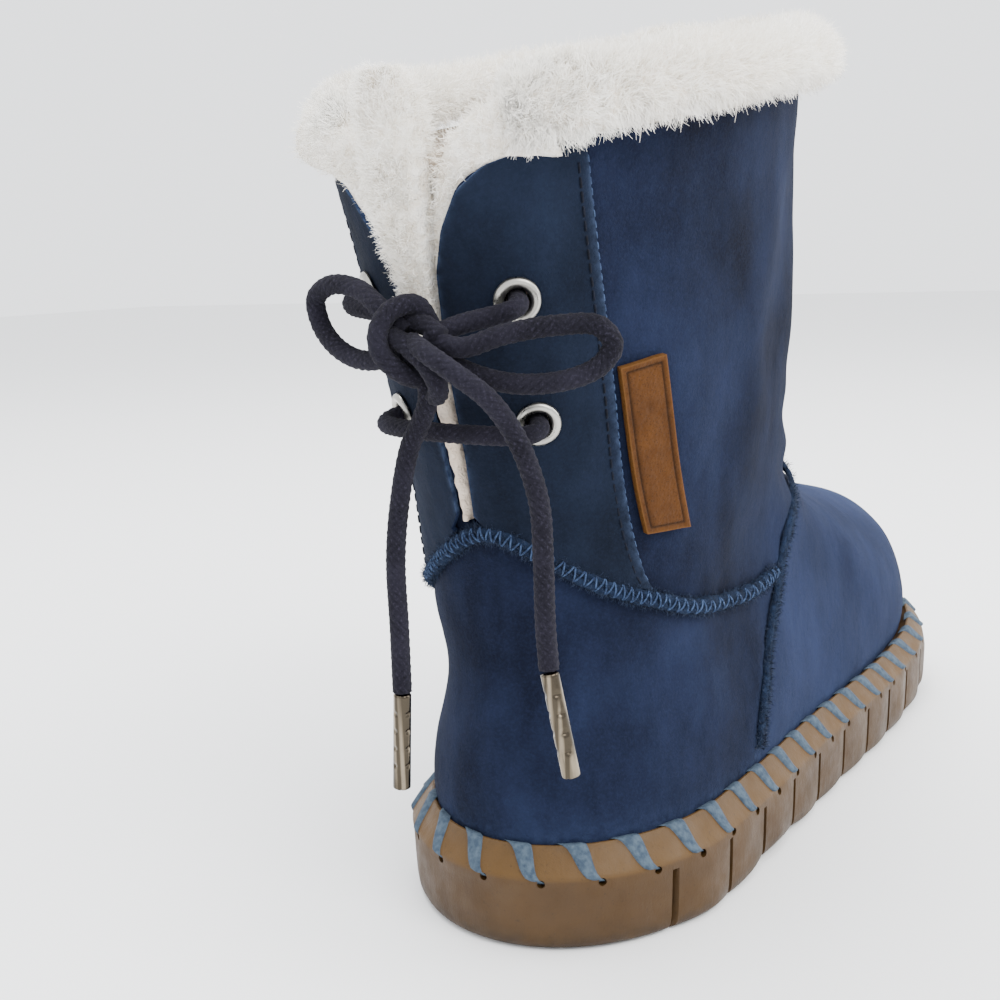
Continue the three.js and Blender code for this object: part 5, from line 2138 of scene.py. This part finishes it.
@dataclass
class Shearling:
    """The collar's deep fur, the fur that fills the slit, and the fleece inside."""

    form: BootForm
    finishes: Finishes
    fur_height: float = 0.022
    fur_depth: float = 0.021
    hair_length: float = 0.0031
    corner_share: float = 0.7
    slit_hair_length: float = 0.0022
    lining_hair_length: float = 0.0058
    corner_spacing: float = 0.0006
    flap_margin: float = 0.0012
    collar_foot: float = 0.176
    lining_depth: float = 0.0016
    lining_hair_depth: float = 0.0014
    lining_foot: float = 0.25
    insole_thickness: float = 0.005
    mat_scale: float = 0.89
    underside: float = 0.34
    overhang: float = 0.36
    overhang_reach: float = 0.16
    corner_sizes: tuple[tuple[float, float], ...] = (
        (0.0, 0.0076), (0.2, 0.0068), (0.45, 0.0054), (0.75, 0.0038), (1.0, 0.002),
    )
    cuff: tuple[CuffSection, ...] = (
        CuffSection(0.062, 0.0, 0.26, 0.72),
        CuffSection(0.085, 0.06, 0.24, 0.9),
        CuffSection(0.14, 0.06, 0.26, 0.98),
        CuffSection(0.25, 0.05, 0.26, 0.94),
        CuffSection(0.4, 0.08, 0.27, 1),
        CuffSection(0.5, 0.1, 0.27, 1.05),
        CuffSection(0.6, 0.06, 0.27, 1),
        CuffSection(0.75, -0.05, 0.26, 0.95),
        CuffSection(0.86, -0.12, 0.25, 0.95),
        CuffSection(0.9, -0.12, 0.24, 0.9),
        CuffSection(0.924, -0.08, 0.25, 0.72),
    )
    column: tuple[ColumnSection, ...] = (
        ColumnSection(0.06, 0.3, 0.2, 0.012),
        ColumnSection(0.16, 0.36, 0, 0.045),
        ColumnSection(0.19, 0.42, 0, 0.1),
        ColumnSection(0.25, 0.46, 0, 0.17),
        ColumnSection(0.32, 0.5, 0.1, 0.24),
        ColumnSection(0.42, 0.55, 0.2, 0.29),
        ColumnSection(0.6, 0.62, 0.2, 0.34),
        ColumnSection(0.68, 0.66, -0.5, 0.39),
        ColumnSection(0.68, 0.66, -1, 0.43),
        ColumnSection(0.62, 0.55, -1.2, 0.46),
        ColumnSection(0.3, 0.3, -1.2, 0.485),
    )

    def cuff_points(
        self, shares: np.ndarray, angles: np.ndarray, scale: float
    ) -> tuple[np.ndarray, np.ndarray]:
        """Finds points of the collar's fur.

        Args:
            shares: The share of the way round the collar of each, from the slit's outer side.
            angles: The angle of each round the fur, from its top outwards.
            scale: The share of its full size.

        Returns:
            The points, and the directions in which the fur faces there.
        """
        stops = np.linspace(0.0, 1.0, 241)
        columns = list(zip(*self.cuff))
        rows = []
        for stop in stops:
            at = stop * (len(self.cuff) - 1)
            turn, out, up, size = (curve_value(column, at) for column in columns)
            normal = self.form.upper_normal(TOP_LEVEL, turn)
            normal.z = 0
            normal.normalize()
            middle = self.form.upper_point(TOP_LEVEL, turn)
            middle += normal * (out * self.fur_depth - self.form.wall / 2)
            middle += UP * up * self.fur_height
            size *= min(1.0, 0.55 + 8 * min(stop, 1 - stop))
            size *= 1 + 0.05 * math.sin(stop * 61) + 0.04 * math.sin(stop * 26)
            rows.append((*middle, *normal, size))
        table = np.array(rows)
        found = np.stack([np.interp(shares, stops, table[:, k]) for k in range(7)], axis=1)
        middle, normal, size = found[:, :3], found[:, 3:6], found[:, 6:]
        high, deep = self.fur_height / 2 * size * scale, self.fur_depth / 2 * size * scale
        rising, reaching = np.cos(angles)[:, None], np.sin(angles)[:, None]
        near = np.minimum(shares, 1 - shares)[:, None]
        under = self.underside + self.overhang * np.exp(-((near / self.overhang_reach) ** 2))
        high = high * np.where(rising < 0, under, 1.0)
        above = np.array(UP)
        facing = above * deep * rising + normal * high * reaching
        facing /= np.linalg.norm(facing, axis=1, keepdims=True)
        return middle + above * high * rising + normal * deep * reaching, facing

    def cuff_mat(self) -> bpy.types.Object:
        """Builds the matted wool under the collar's hairs.

        Returns:
            The piece.
        """
        bm = new_mesh()
        verts = add_grid(bm, 36, 220, lambda u, v: Vector((u, v, 0)))
        spots = np.array([vert.co for vert in verts])
        points, facings = self.cuff_points(spots[:, 1], 2 * math.pi * spots[:, 0], self.mat_scale)
        for vert, point, facing in zip(verts, points, facings):
            vert.co = point
            lump = noise.noise(vert.co * 120) * 0.0016 + noise.noise(vert.co * 300) * 0.0008
            vert.co += Vector(facing) * lump
        close(bm)
        return settle(bm, "fur_cuff_mat", Slot.FUR, [self.finishes.wool_mat], ["fur_cuff"])

    def cuff_hair(
        self, start: float, end: float, count: int, seed: int, name: str
    ) -> bpy.types.Object:
        """Grows the collar's hairs over a stretch of it, gathered into locks.

        Args:
            start: The share of the way round where the stretch starts.
            end: The share where it ends.
            count: How many hairs.
            seed: Starts the random numbers.
            name: The piece's name.

        Returns:
            The piece.
        """
        rng = np.random.default_rng(seed)
        shares = rng.uniform(start, end, count)
        angles = rng.uniform(-0.72, 0.86, count) * math.pi
        roots, skins = self.cuff_points(shares, angles, self.mat_scale)
        mesh = self._locks(name, roots, skins, self.hair_length, spacing=0.002, seed=seed)
        return adopt(mesh, name, Slot.FUR, [self.finishes.wool])

    def _locks(
        self,
        name: str,
        roots: np.ndarray,
        skins: np.ndarray,
        length: float,
        spacing: float,
        seed: int,
    ) -> bpy.types.Mesh:
        """Grows hairs whose tips gather into curled locks.

        Args:
            name: The mesh's name.
            roots: Where the hairs start.
            skins: The direction in which the skin faces at each.
            length: Their usual length.
            spacing: About how far apart the locks are.
            seed: Starts the random numbers.

        Returns:
            The mesh.
        """
        rng = np.random.default_rng(seed + 1)
        count = len(roots)
        cell = np.round(roots / spacing + rng.normal(0, 0.22, (count, 3))).astype(int)
        _, lock = np.unique(cell, axis=0, return_inverse=True)
        lock = lock.ravel()
        locks = lock.max() + 1
        share = np.bincount(lock, minlength=locks)[:, None]
        centre = np.stack([np.bincount(lock, roots[:, k], locks) for k in range(3)], 1) / share
        facing = np.stack([np.bincount(lock, skins[:, k], locks) for k in range(3)], 1) / share
        stray = rng.normal(0, 0.55, (locks, 3)) + np.array([0, 0, -0.1])
        facing = facing + stray
        facing /= np.linalg.norm(facing, axis=1, keepdims=True)
        lengths = length * rng.uniform(0.7, 1.15, (locks, 1))
        lock_tip = centre + facing * lengths
        own = length * rng.uniform(0.6, 1.1, (count, 1))
        leans = skins * own + rng.normal(0, 0.4, (count, 3)) * own
        straight = roots + leans
        pull = rng.uniform(0.35, 0.8, (count, 1))
        tips = straight * (1 - pull) + lock_tip[lock] * pull
        blades = Blades(root_width=0.00017, tip_width=0.00007, stages=2, curl=0.0008)
        return blades.grow(name, roots - skins * 0.0004, leans, tips, skins, seed)

    def corner_roll(self, side: Side) -> bpy.types.Object:
        """Builds the matted wool that rolls over a flap's corner, from the collar into the slit.

        Args:
            side: The side that the flap is on.

        Returns:
            The piece.
        """
        bm = new_mesh()
        path = smooth_path(self.corner_course(side), self.corner_spacing)
        last = len(path) - 1

        def radius(u: float, v: float) -> float:
            spot = path[round(v * last)]
            round_it = Vector((math.cos(6.28 * u), math.sin(6.28 * u), 0))
            lump = noise.noise(spot * 160 + round_it * 0.8)
            return self.corner_radius(v) * self.mat_scale * (1 + 0.16 * lump)

        add_tube(bm, path, radius, 24)
        close(bm)
        return settle(bm, f"corner_roll_{side.name.lower()}", Slot.FUR, [self.finishes.wool_mat])

    def corner_course(self, side: Side) -> list[Vector]:
        """Returns the middle line of the fur over a flap's corner, from the collar downwards."""
        if side is Side.LATERAL:
            return [
                mm(26, -43.5, 180), mm(17.8, -47, 178.2), mm(11, -48, 174.2), mm(6.2, -47, 168.5),
                mm(3.4, -45.5, 162), mm(1.8, -43.5, 154), mm(0.2, -41, 145), mm(-0.6, -38.5, 136),
            ]
        return [
            mm(-32, -38, 180), mm(-26, -42, 179), mm(-20, -44, 175), mm(-15.4, -44.5, 169),
            mm(-12.4, -44, 162), mm(-10.8, -42.5, 154), mm(-9.2, -40.5, 145), mm(-8.2, -38.5, 136),
        ]

    def corner_radius(self, share: float) -> float:
        """Returns how thick the fur over a flap's corner is at a share of the way down it."""
        return line_value(self.corner_sizes, share)

    def corner_hair(self, side: Side, count: int, seed: int) -> bpy.types.Object:
        """Grows the hairs over a flap's corner.

        Args:
            side: The side that the flap is on.
            count: How many hairs.
            seed: Starts the random numbers.

        Returns:
            The piece.
        """
        rng = np.random.default_rng(seed)
        path = smooth_path(self.corner_course(side), self.corner_spacing)
        frames = carried_frames(path)
        last = len(path) - 1
        roots, skins = np.zeros((count, 3)), np.zeros((count, 3))
        for k in range(count):
            share = float(rng.random())
            across, beside = frames[round(share * last)]
            angle = float(rng.uniform(0, 2 * math.pi))
            skin = across * math.cos(angle) + beside * math.sin(angle)
            roots[k] = path[round(share * last)] + skin * self.corner_radius(share) * self.mat_scale
            skins[k] = skin
        edge = np.array([self.form.slit_half(z) for z in roots[:, 2]])
        behind = np.abs(roots[:, 0] - self.form.slit_middle) > edge - self.flap_margin
        clear = ~(behind & (skins[:, 1] < 0.3)) | (roots[:, 2] > self.collar_foot)
        name = f"corner_hair_{side.name.lower()}"
        length = self.hair_length * self.corner_share
        mesh = self._locks(name, roots[clear], skins[clear], length, spacing=0.0018, seed=seed)
        return adopt(mesh, name, Slot.FUR, [self.finishes.wool])

    def column_point(self, share: float, angle: float) -> tuple[Vector, Vector]:
        """Finds a point of the fur in the slit.

        Args:
            share: The share of the way up it.
            angle: The angle round it, from the outer side.

        Returns:
            The point, and the direction in which the fur faces there.
        """
        at = share * (len(self.column) - 1)
        half, depth, out, up = (curve_value(column, at) for column in zip(*self.column))
        z = self.form.slit_bottom + up * self.form.shaft_height
        rim = self.form.upper_point(TOP_LEVEL, 0.0)
        below = self.form.upper_point(TOP_LEVEL - 1, 0.0)
        lean = (rim.y - below.y) / (rim.z - below.z)
        level = self.form.level_at(0.0, min(z, rim.z))
        y = self.form.upper_point(level, 0.0).y + max(0.0, z - rim.z) * lean
        middle = Vector((self.form.slit_middle, y + self.form.wall * (0.6 - out), z))
        wide, deep = half * self.form.slit_width, depth * self.form.slit_width
        offset = Vector((wide * math.cos(angle), deep * math.sin(angle), 0))
        facing = Vector((deep * math.cos(angle), wide * math.sin(angle), 0)).normalized()
        return middle + offset * 0.86, facing

    def column_mat(self) -> bpy.types.Object:
        """Builds the matted wool that fills the slit and the slab behind it.

        Returns:
            The piece.
        """
        bm = new_mesh("lower_darkening")
        (lower_darkening,) = value_layers(bm, "lower_darkening")

        def place(u: float, v: float) -> Vector:
            point, facing = self.column_point(v, 2 * math.pi * u)
            return point + facing * noise.noise(point * 500) * 0.0007

        for vert in add_grid(bm, 20, 120, place):
            # Darker and warmer towards the foot of the slit.
            vert[lower_darkening] = 0.75 * (1 - smooth((vert.co.z - 0.118) / 0.026))
        close(bm)
        return settle(bm, "slit_fur_mat", Slot.FUR, [self.finishes.wool_mat], ["gusset"])

    def column_hair(self, count: int, seed: int) -> bpy.types.Object:
        """Grows the hairs of the fur in the slit.

        Args:
            count: How many hairs.
            seed: Starts the random numbers.

        Returns:
            The piece.
        """
        rng = np.random.default_rng(seed)
        roots, skins = np.zeros((count, 3)), np.zeros((count, 3))
        for k in range(count):
            share = float(rng.uniform(0.3, 1.0) ** 0.8)
            point, facing = self.column_point(share, float(rng.uniform(1.22, 1.78) * math.pi))
            if share > 0.72:
                point, facing = self.column_point(share, float(rng.uniform(0.0, 2.0) * math.pi))
            roots[k], skins[k] = point, facing + UP * (0.15 if share < 0.8 else 0.5)
        skins /= np.linalg.norm(skins, axis=1, keepdims=True)
        length = self.slit_hair_length
        mesh = self._locks("slit_fur_hair", roots, skins, length, spacing=0.0016, seed=seed)
        return adopt(mesh, "slit_fur_hair", Slot.FUR, [self.finishes.wool])

    def lining(self) -> bpy.types.Object:
        """Builds the fleece that lines the upper, in front of and behind the slit.

        Returns:
            The piece.
        """
        bm = new_mesh()
        depth = -self.form.wall - self.lining_depth

        def place(u: float, v: float) -> Vector:
            level = self.lining_foot + (TOP_LEVEL - self.lining_foot) * v
            spot = Place(level, u)
            point = self.form.upper_point(*spot)
            fluffy = noise.noise(point * 260) * 0.0007 + noise.noise(point * 600) * 0.0004
            return self.form.on_upper(spot, depth + fluffy)

        add_grid(bm, 150, 96, place)
        weld(bm)
        bmesh.ops.reverse_faces(bm, faces=bm.faces)
        return settle(bm, "fleece_lining", Slot.FUR, [self.finishes.fleece])

    def lining_hair(self, count: int, seed: int) -> bpy.types.Object:
        """Grows the hairs inside the top of the shaft.

        Args:
            count: How many hairs.
            seed: Starts the random numbers.

        Returns:
            The piece.
        """
        rng = np.random.default_rng(seed)
        roots, skins = np.zeros((count, 3)), np.zeros((count, 3))
        for k in range(count):
            depth = float(rng.random() ** 1.4)
            spot = Place(TOP_LEVEL - 3.4 * depth, float(rng.random()))
            roots[k] = self.form.on_upper(spot, -self.form.wall - self.lining_hair_depth)
            skins[k] = -self.form.upper_normal(*spot)
        length = self.lining_hair_length
        mesh = self._locks("lining_hair", roots, skins, length, spacing=0.003, seed=seed)
        return adopt(mesh, "lining_hair", Slot.FUR, [self.finishes.wool])

    def insole(self) -> bpy.types.Object:
        """Builds the fleece face of the insole.

        Returns:
            The piece.
        """
        bm = new_mesh()
        inset = -self.form.wall - self.form.clearance

        def place(u: float, v: float) -> Vector:
            edge = self.form.on_upper(Place(0.0, u), inset)
            edge.z += self.insole_thickness
            opposite = self.form.on_upper(Place(0.0, 1.0 - u), inset)
            spine = Vector(((edge.x + opposite.x) / 2, edge.y, edge.z))
            point = spine.lerp(edge, v)
            return point + UP * noise.noise(point * 300) * 0.0009

        add_grid(bm, 150, 18, place)
        weld(bm, 1e-5)
        bm.normal_update()
        if sum(face.normal.z for face in bm.faces) < 0:
            bmesh.ops.reverse_faces(bm, faces=bm.faces)
        return settle(bm, "insole_fleece", Slot.INSOLE, [self.finishes.fleece], ["insole"])


class LaceRun(NamedTuple):
    """A stretch of the lace: its name, the solid it stands for, its points and what it ends in."""

    name: str
    node: str
    points: tuple[Vector, ...]
    far_end: str | None
    lay: str


@dataclass
class Lace:
    """The round braided lace in its bow, with metal tips."""

    form: BootForm
    finishes: Finishes
    eyelets: dict[str, EyeletPlace]
    radius: float = 0.002
    eyelet_lip: float = 0.0011
    strands: int = 8
    cell: float = 0.0019
    braid_depth: float = 0.00036
    spacing: float = 0.00036
    sides: int = 32
    aglet_radius: float = 0.0019
    aglet_length: float = 0.0215
    aglet_sides: int = 48
    tip_rounding: float = 0.0005
    seam_depth: float = 0.00028
    seam_breadth: float = 0.018
    crimps: tuple[float, ...] = (0.2, 0.38, 0.56, 0.74)
    crimp_depth: float = 0.00042
    knot_middle: Vector = field(default_factory=lambda: mm(3, -59, 138.5))

    @property
    def ride_height(self) -> float:
        """Returns how far off the upper the lace lies where it clears an eyelet's lip."""
        seat = self.form.panel_thickness + 2 * self.form.clearance
        return seat + self.eyelet_lip + self.radius * 2 + self.form.clearance

    def through(self, name: str, toward: Vector) -> list[Vector]:
        """Finds the lace's points where it comes out of an eyelet and turns away over its lip.

        Args:
            name: The eyelet's name.
            toward: Where it goes.

        Returns:
            The points, from inside the boot outwards.
        """
        place = self.eyelets[name]
        aside = toward - place.foot
        aside = (aside - place.out * aside.dot(place.out)).normalized()
        high = self.ride_height
        return [
            place.foot - place.out * (self.form.wall + 0.004),
            place.foot.copy(),
            place.foot + place.out * (high - self.radius * 1.2),
            place.foot + place.out * (high - 0.0004) + aside * self.radius * 0.9,
            place.foot + place.out * high + aside * self.radius * 2.2,
        ]

    def bar_points(self) -> list[Vector]:
        """Returns the lace's course between the two lower eyelets."""
        back = self.form.upper_point(self.form.level_at(0.0, 0.119), 0.0).y
        middle = Vector((-0.0025, back - self.ride_height - 0.0006, 0.1185))
        start = self.through("eyelet_lateral_lower", middle)
        end = self.through("eyelet_medial_lower", middle)
        return [*start, middle, *reversed(end)]

    def runs(self) -> list[LaceRun]:
        """Returns the stretches of the bow."""
        upper_outer = self.through("eyelet_lateral_upper", self.knot_middle)
        upper_inner = self.through("eyelet_medial_upper", self.knot_middle)
        return [
            LaceRun(
                "lace_end_lateral_cord",
                "lace_end_lateral",
                (mm(3, -62, 138.6), mm(9, -65.4, 136.4), mm(14.5, -65, 132.8), mm(20, -62.5, 127.8),
                 mm(24.2, -59.6, 120), mm(27.6, -58, 108), mm(28.2, -58, 96.5), mm(28.2, -58, 84),
                 mm(28.7, -58, 74.6)),
                "fitting",
                "hanging",
            ),
            LaceRun(
                "lace_end_medial_cord",
                "lace_end_medial",
                (mm(4, -60, 135), mm(4.6, -59.5, 127.5), mm(2.2, -58.6, 122.8),
                 mm(-1.2, -58, 117.5), mm(-4.3, -58, 106.3), mm(-6.1, -58, 93.7),
                 mm(-6.1, -58, 79), mm(-6.2, -58, 65.3)),
                "fitting",
                "hanging",
            ),
            LaceRun(
                "lace_loop_lateral_cord",
                "lace_loop_lateral",
                (mm(5, -60, 139.4), mm(12, -58.5, 137.3), mm(20, -56, 139.6), mm(29, -51, 141),
                 mm(36.5, -48, 140.6), mm(39, -47.4, 137), mm(36.6, -48, 133.2),
                 mm(31, -50.5, 130.6), mm(22.5, -54.5, 130), mm(14, -56.4, 131.8),
                 mm(6, -57.5, 135.5)),
                "object",
                "loose",
            ),
            LaceRun(
                "lace_loop_medial_cord",
                "lace_loop_medial",
                (mm(1, -60, 140.5), mm(-5, -60.1, 145), mm(-12, -57.8, 148.9), mm(-20, -56, 149.8),
                 mm(-25, -54.6, 147), mm(-24.6, -54, 141.8), mm(-20, -55.5, 137.4),
                 mm(-13.5, -57, 134.8), mm(-6, -59, 135), mm(1, -60, 137)),
                "object",
                "loose",
            ),
            LaceRun(
                "lace_strand_lateral_cord",
                "lace_strand_lateral",
                (*upper_outer, mm(9.5, -54, 141.5), mm(5, -58, 139.5)),
                "object",
                "taut",
            ),
            LaceRun(
                "lace_strand_medial_cord",
                "lace_strand_medial",
                (*upper_inner, mm(-6.5, -53.6, 143), mm(-1, -56.5, 139.5)),
                "object",
                "taut",
            ),
        ]

    def knot_runs(self) -> list[list[Vector]]:
        """Returns the turns of lace that make the knot."""
        return [
            [mm(4.2, -56.2, 141), mm(2.5, -59, 145.6), mm(-0.6, -62.6, 145), mm(-2.8, -64.6, 141.2),
             mm(-2.6, -65, 137.4), mm(0.2, -64, 133.6), mm(3.2, -61.2, 131.6), mm(5, -57.6, 132.6)],
            [mm(-5, -59.6, 140.6), mm(-1.6, -61.8, 139.8), mm(3, -63, 137.6), mm(7, -63.4, 134.4),
             mm(8.8, -62.6, 130.6), mm(7.4, -60.6, 128.2), mm(4.6, -59, 128.6)],
            [mm(-6, -58.2, 138), mm(-0.6, -60, 136.4), mm(4.4, -60.2, 134.4), mm(9, -59, 133.8)],
            [mm(-3, -58, 141.5), mm(3, -59, 142.2), mm(8.4, -59.8, 139.4)],
        ]

    def _relief(self, u: float, along: float) -> float:
        """Returns how high the braid stands, from 0 to 1, at a share round and a length along."""
        turn = self.strands * u
        step = along / self.cell
        over = (math.floor(turn + step) + math.floor(turn - step)) % 2 == 0
        first, second = (abs(math.sin(math.pi * at)) for at in (turn + step, turn - step))
        crown, crossed = (first, second) if over else (second, first)
        return crown**0.6 * (0.5 + 0.5 * crossed**0.5)

    def _cord_mesh(self, bm: bmesh.types.BMesh, points: Sequence[Vector]) -> list[Vector]:
        """Adds a stretch of braided cord to a mesh.

        Args:
            bm: The mesh, with the value relief on its points.
            points: The points that the stretch passes through.

        Returns:
            The middle of each of its rings.
        """
        path = smooth_path(points, self.spacing)
        length = self.spacing * (len(path) - 1)
        (relief,) = value_layers(bm, "relief")
        verts = add_tube(
            bm,
            path,
            lambda u, v: self.radius + self.braid_depth * (self._relief(u, v * length) - 0.65),
            self.sides,
        )
        for index, vert in enumerate(verts):
            u = (index % (self.sides + 1)) / self.sides
            vert[relief] = self._relief(u, (index // (self.sides + 1)) * self.spacing)
        return path

    def _cord(
        self, name: str, stretches: Sequence[Sequence[Vector]], nodes: Sequence[str]
    ) -> tuple[bpy.types.Object, list[Vector]]:
        """Builds one or more stretches of cord as a piece.

        Args:
            name: The piece's name.
            stretches: The points of each stretch.
            nodes: The solids that it stands for.

        Returns:
            The piece and the last stretch's ring middles.
        """
        bm = new_mesh("relief")
        path: list[Vector] = []
        for points in stretches:
            path = self._cord_mesh(bm, points)
        close(bm)
        return settle(bm, name, Slot.LACE, [self.finishes.lace], nodes), path

    def aglet(self, side: Side, start: Vector, lean: Vector) -> bpy.types.Object:
        """Builds a metal tip: a folded tube with a seam and a few crimps.

        Args:
            side: The side that its lace end hangs on.
            start: Where it starts.
            lean: The way that it points.

        Returns:
            The piece.
        """
        bm = new_mesh()
        steps = np.linspace(0, self.aglet_length, 65) + self.form.clearance
        path = [start + lean.normalized() * float(step) for step in steps]
        seam = 0.12 if side is Side.LATERAL else 0.2

        def radius(u: float, v: float) -> float:
            near = min(v, 1 - v) * self.aglet_length
            drawn_in = max(0.0, 1 - near / self.tip_rounding)
            rounded = math.sqrt(max(0.0, 1 - drawn_in**2)) * 0.28 + 0.72
            beside = min(abs(u - seam), 1 - abs(u - seam))
            slit = self.seam_depth * bell(beside / self.seam_breadth)
            dents = sum(bell((v - crimp) / 0.018) for crimp in self.crimps)
            dent = self.crimp_depth * dents * bell((beside - 0.13) / 0.05)
            return self.aglet_radius * rounded - slit - dent

        add_tube(bm, path, radius, self.aglet_sides)
        close(bm)
        name = f"aglet_{side.name.lower()}"
        return settle(bm, name + "_tube", Slot.AGLET, [self.finishes.steel], [name])

    def build(self) -> None:
        """Builds the whole lace and logs each stretch's length."""
        self._cord("lace_bar_cord", [self.bar_points()], ["lace_bar"])
        self._cord("lace_knot_turns", self.knot_runs(), ["lace_knot"])
        tips = {
            "lace_end_lateral": self.aglet(Side.LATERAL, mm(28.7, -58, 74.3), mm(4.2, 0, -21)),
            "lace_end_medial": self.aglet(Side.MEDIAL, mm(-6.2, -58, 65.3), mm(-1.5, 0, -23)),
        }
        for run in self.runs():
            piece, path = self._cord(run.name, [run.points], [run.node])
            length = sum((b - a).length for a, b in zip(path, path[1:]))
            tuple(path[0])
            [tuple(point) for point in path]
            log.info("%s is %.1f mm long", run.name, length / MILLIMETRE)


@dataclass
class Studio:
    """A pale floor, soft lights and the camera at the photograph's angle."""

    camera_place: Vector = field(default_factory=lambda: mm(142.26, -274.73, 154.06))
    azimuth: float = 0.51516
    elevation: float = 0.18379
    roll: float = -0.03699
    focal_px: float = 1302.7
    image_px: float = 1000.0
    centre_px: tuple[float, float] = (502.1, 499.9)
    sensor: float = 36.0
    floor_grey: Colour = (0.86, 0.86, 0.86, 1.0)
    sky: Colour = (0.95, 0.97, 1.0, 1.0)
    sky_strength: float = 2.3

    def camera(self) -> None:
        """Builds the camera."""
        data = bpy.data.cameras.new("camera")
        data.sensor_width = self.sensor
        data.lens = self.focal_px * self.sensor / self.image_px
        data.shift_x = (self.image_px / 2 - self.centre_px[0]) / self.image_px
        data.shift_y = (self.centre_px[1] - self.image_px / 2) / self.image_px
        data.clip_start = 0.01
        data.clip_end = 50
        back = Vector((
            math.sin(self.azimuth) * math.cos(self.elevation),
            -math.cos(self.azimuth) * math.cos(self.elevation),
            math.sin(self.elevation),
        ))
        right = Vector((math.cos(self.azimuth), math.sin(self.azimuth), 0))
        above = back.cross(right)
        across = right * math.cos(self.roll) + above * math.sin(self.roll)
        rising = above * math.cos(self.roll) - right * math.sin(self.roll)
        camera = link("camera", data)
        turned = Matrix((across, rising, back)).transposed().to_4x4()
        camera.matrix_world = Matrix.Translation(self.camera_place) @ turned
        bpy.context.scene.camera = camera

    def floor(self) -> None:
        """Builds the floor."""
        bm = bmesh.new()
        bmesh.ops.create_grid(bm, x_segments=2, y_segments=2, size=4.0)
        mesh = to_mesh(bm, "floor")
        mesh.materials.append(NodeBoard("floor", self.floor_grey, 0.9).material)
        floor = link("floor", mesh)

    def light(
        self, name: str, place: Vector, aim: Vector, size: float, power: float, warmth: Colour
    ) -> None:
        """Adds a soft light.

        Args:
            name: Its name.
            place: Where it hangs.
            aim: What it points at.
            size: How wide it is.
            power: Its power in watts.
            warmth: Its colour.
        """
        data = bpy.data.lights.new(name, "AREA")
        data.shape = "DISK"
        data.size = size
        data.energy = power
        data.color = warmth[:3]
        link(name, data).matrix_world = stand(place, aim - place, "-Z")

    def build(self) -> None:
        """Builds the camera, the floor and the lights."""
        self.camera()
        self.floor()
        world = bpy.data.worlds.new("studio")
        world.use_nodes = True
        sky = world.node_tree.nodes["Background"]
        sky.inputs["Color"].default_value = self.sky
        sky.inputs["Strength"].default_value = self.sky_strength
        bpy.context.scene.world = world
        middle = mm(0, 60, 90)
        self.light("key", mm(900, -300, 1100), middle, 0.9, 18, (1.0, 0.99, 0.97, 1.0))
        self.light("front", mm(1000, 700, 700), middle, 0.8, 10, (1.0, 1.0, 1.0, 1.0))
        self.light("top", mm(-200, 100, 1300), middle, 1.0, 24, (0.97, 0.98, 1.0, 1.0))


def main() -> None:
    """Builds the boot piece by piece, the camera and the cords first."""
    logging.basicConfig(level=logging.INFO, format="%(message)s")
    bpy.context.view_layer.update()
    finishes = Finishes()
    Studio().build()
    eyelets = Eyelets(FORM, finishes)
    places = eyelets.places()
    Lace(FORM, finishes, {place.name: place for place in places}).build()
    courses = SeamCourses(FORM)
    Upper(FORM, courses, finishes).build(places)
    panels = EyeletPanels(FORM, courses, finishes)
    for side in Side:
        panels.build(side, places)
        for row in panels.stitch_rows:
            panels.stitches(side, row)
    seams = RaisedSeams(FORM, courses, finishes)
    seams.ridge("ankle_ridge", "ankle_seam", courses.ankle_places(), 1.0)
    seams.overlock("ankle_thread", courses.ankle_places(), 0.01, 0.99)
    seams.nap("ankle_nap", courses.ankle_places(), 5200, 1.0, 11)
    seams.ridge("vamp_ridge", "vamp_seam", courses.vamp_places(), 0.6)
    seams.nap("vamp_nap", courses.vamp_places(), 4200, 0.6, 12)
    for place in places:
        eyelets.build(place)
    Label(FORM, courses, finishes).build()
    stitches = WhipStitches(FORM, finishes)
    Outsole(FORM, finishes).build(stitches.holes())
    stitches.build()
    shearling = Shearling(FORM, finishes)
    shearling.insole()
    shearling.lining()
    shearling.cuff_mat()
    shearling.column_mat()
    parts = (("outer", 0.0, 0.34), ("front", 0.34, 0.67), ("inner", 0.67, 1.0))
    for seed, (part, start, end) in enumerate(parts, 21):
        shearling.cuff_hair(start, end, 34000, seed, f"fur_cuff_{part}_hair")
    for side, seed in ((Side.LATERAL, 26), (Side.MEDIAL, 27)):
        shearling.corner_roll(side)
        shearling.corner_hair(side, 7000, seed)
    shearling.column_hair(7000, 24)
    shearling.lining_hair(12000, 25)


if __name__ == "__main__":
    main()
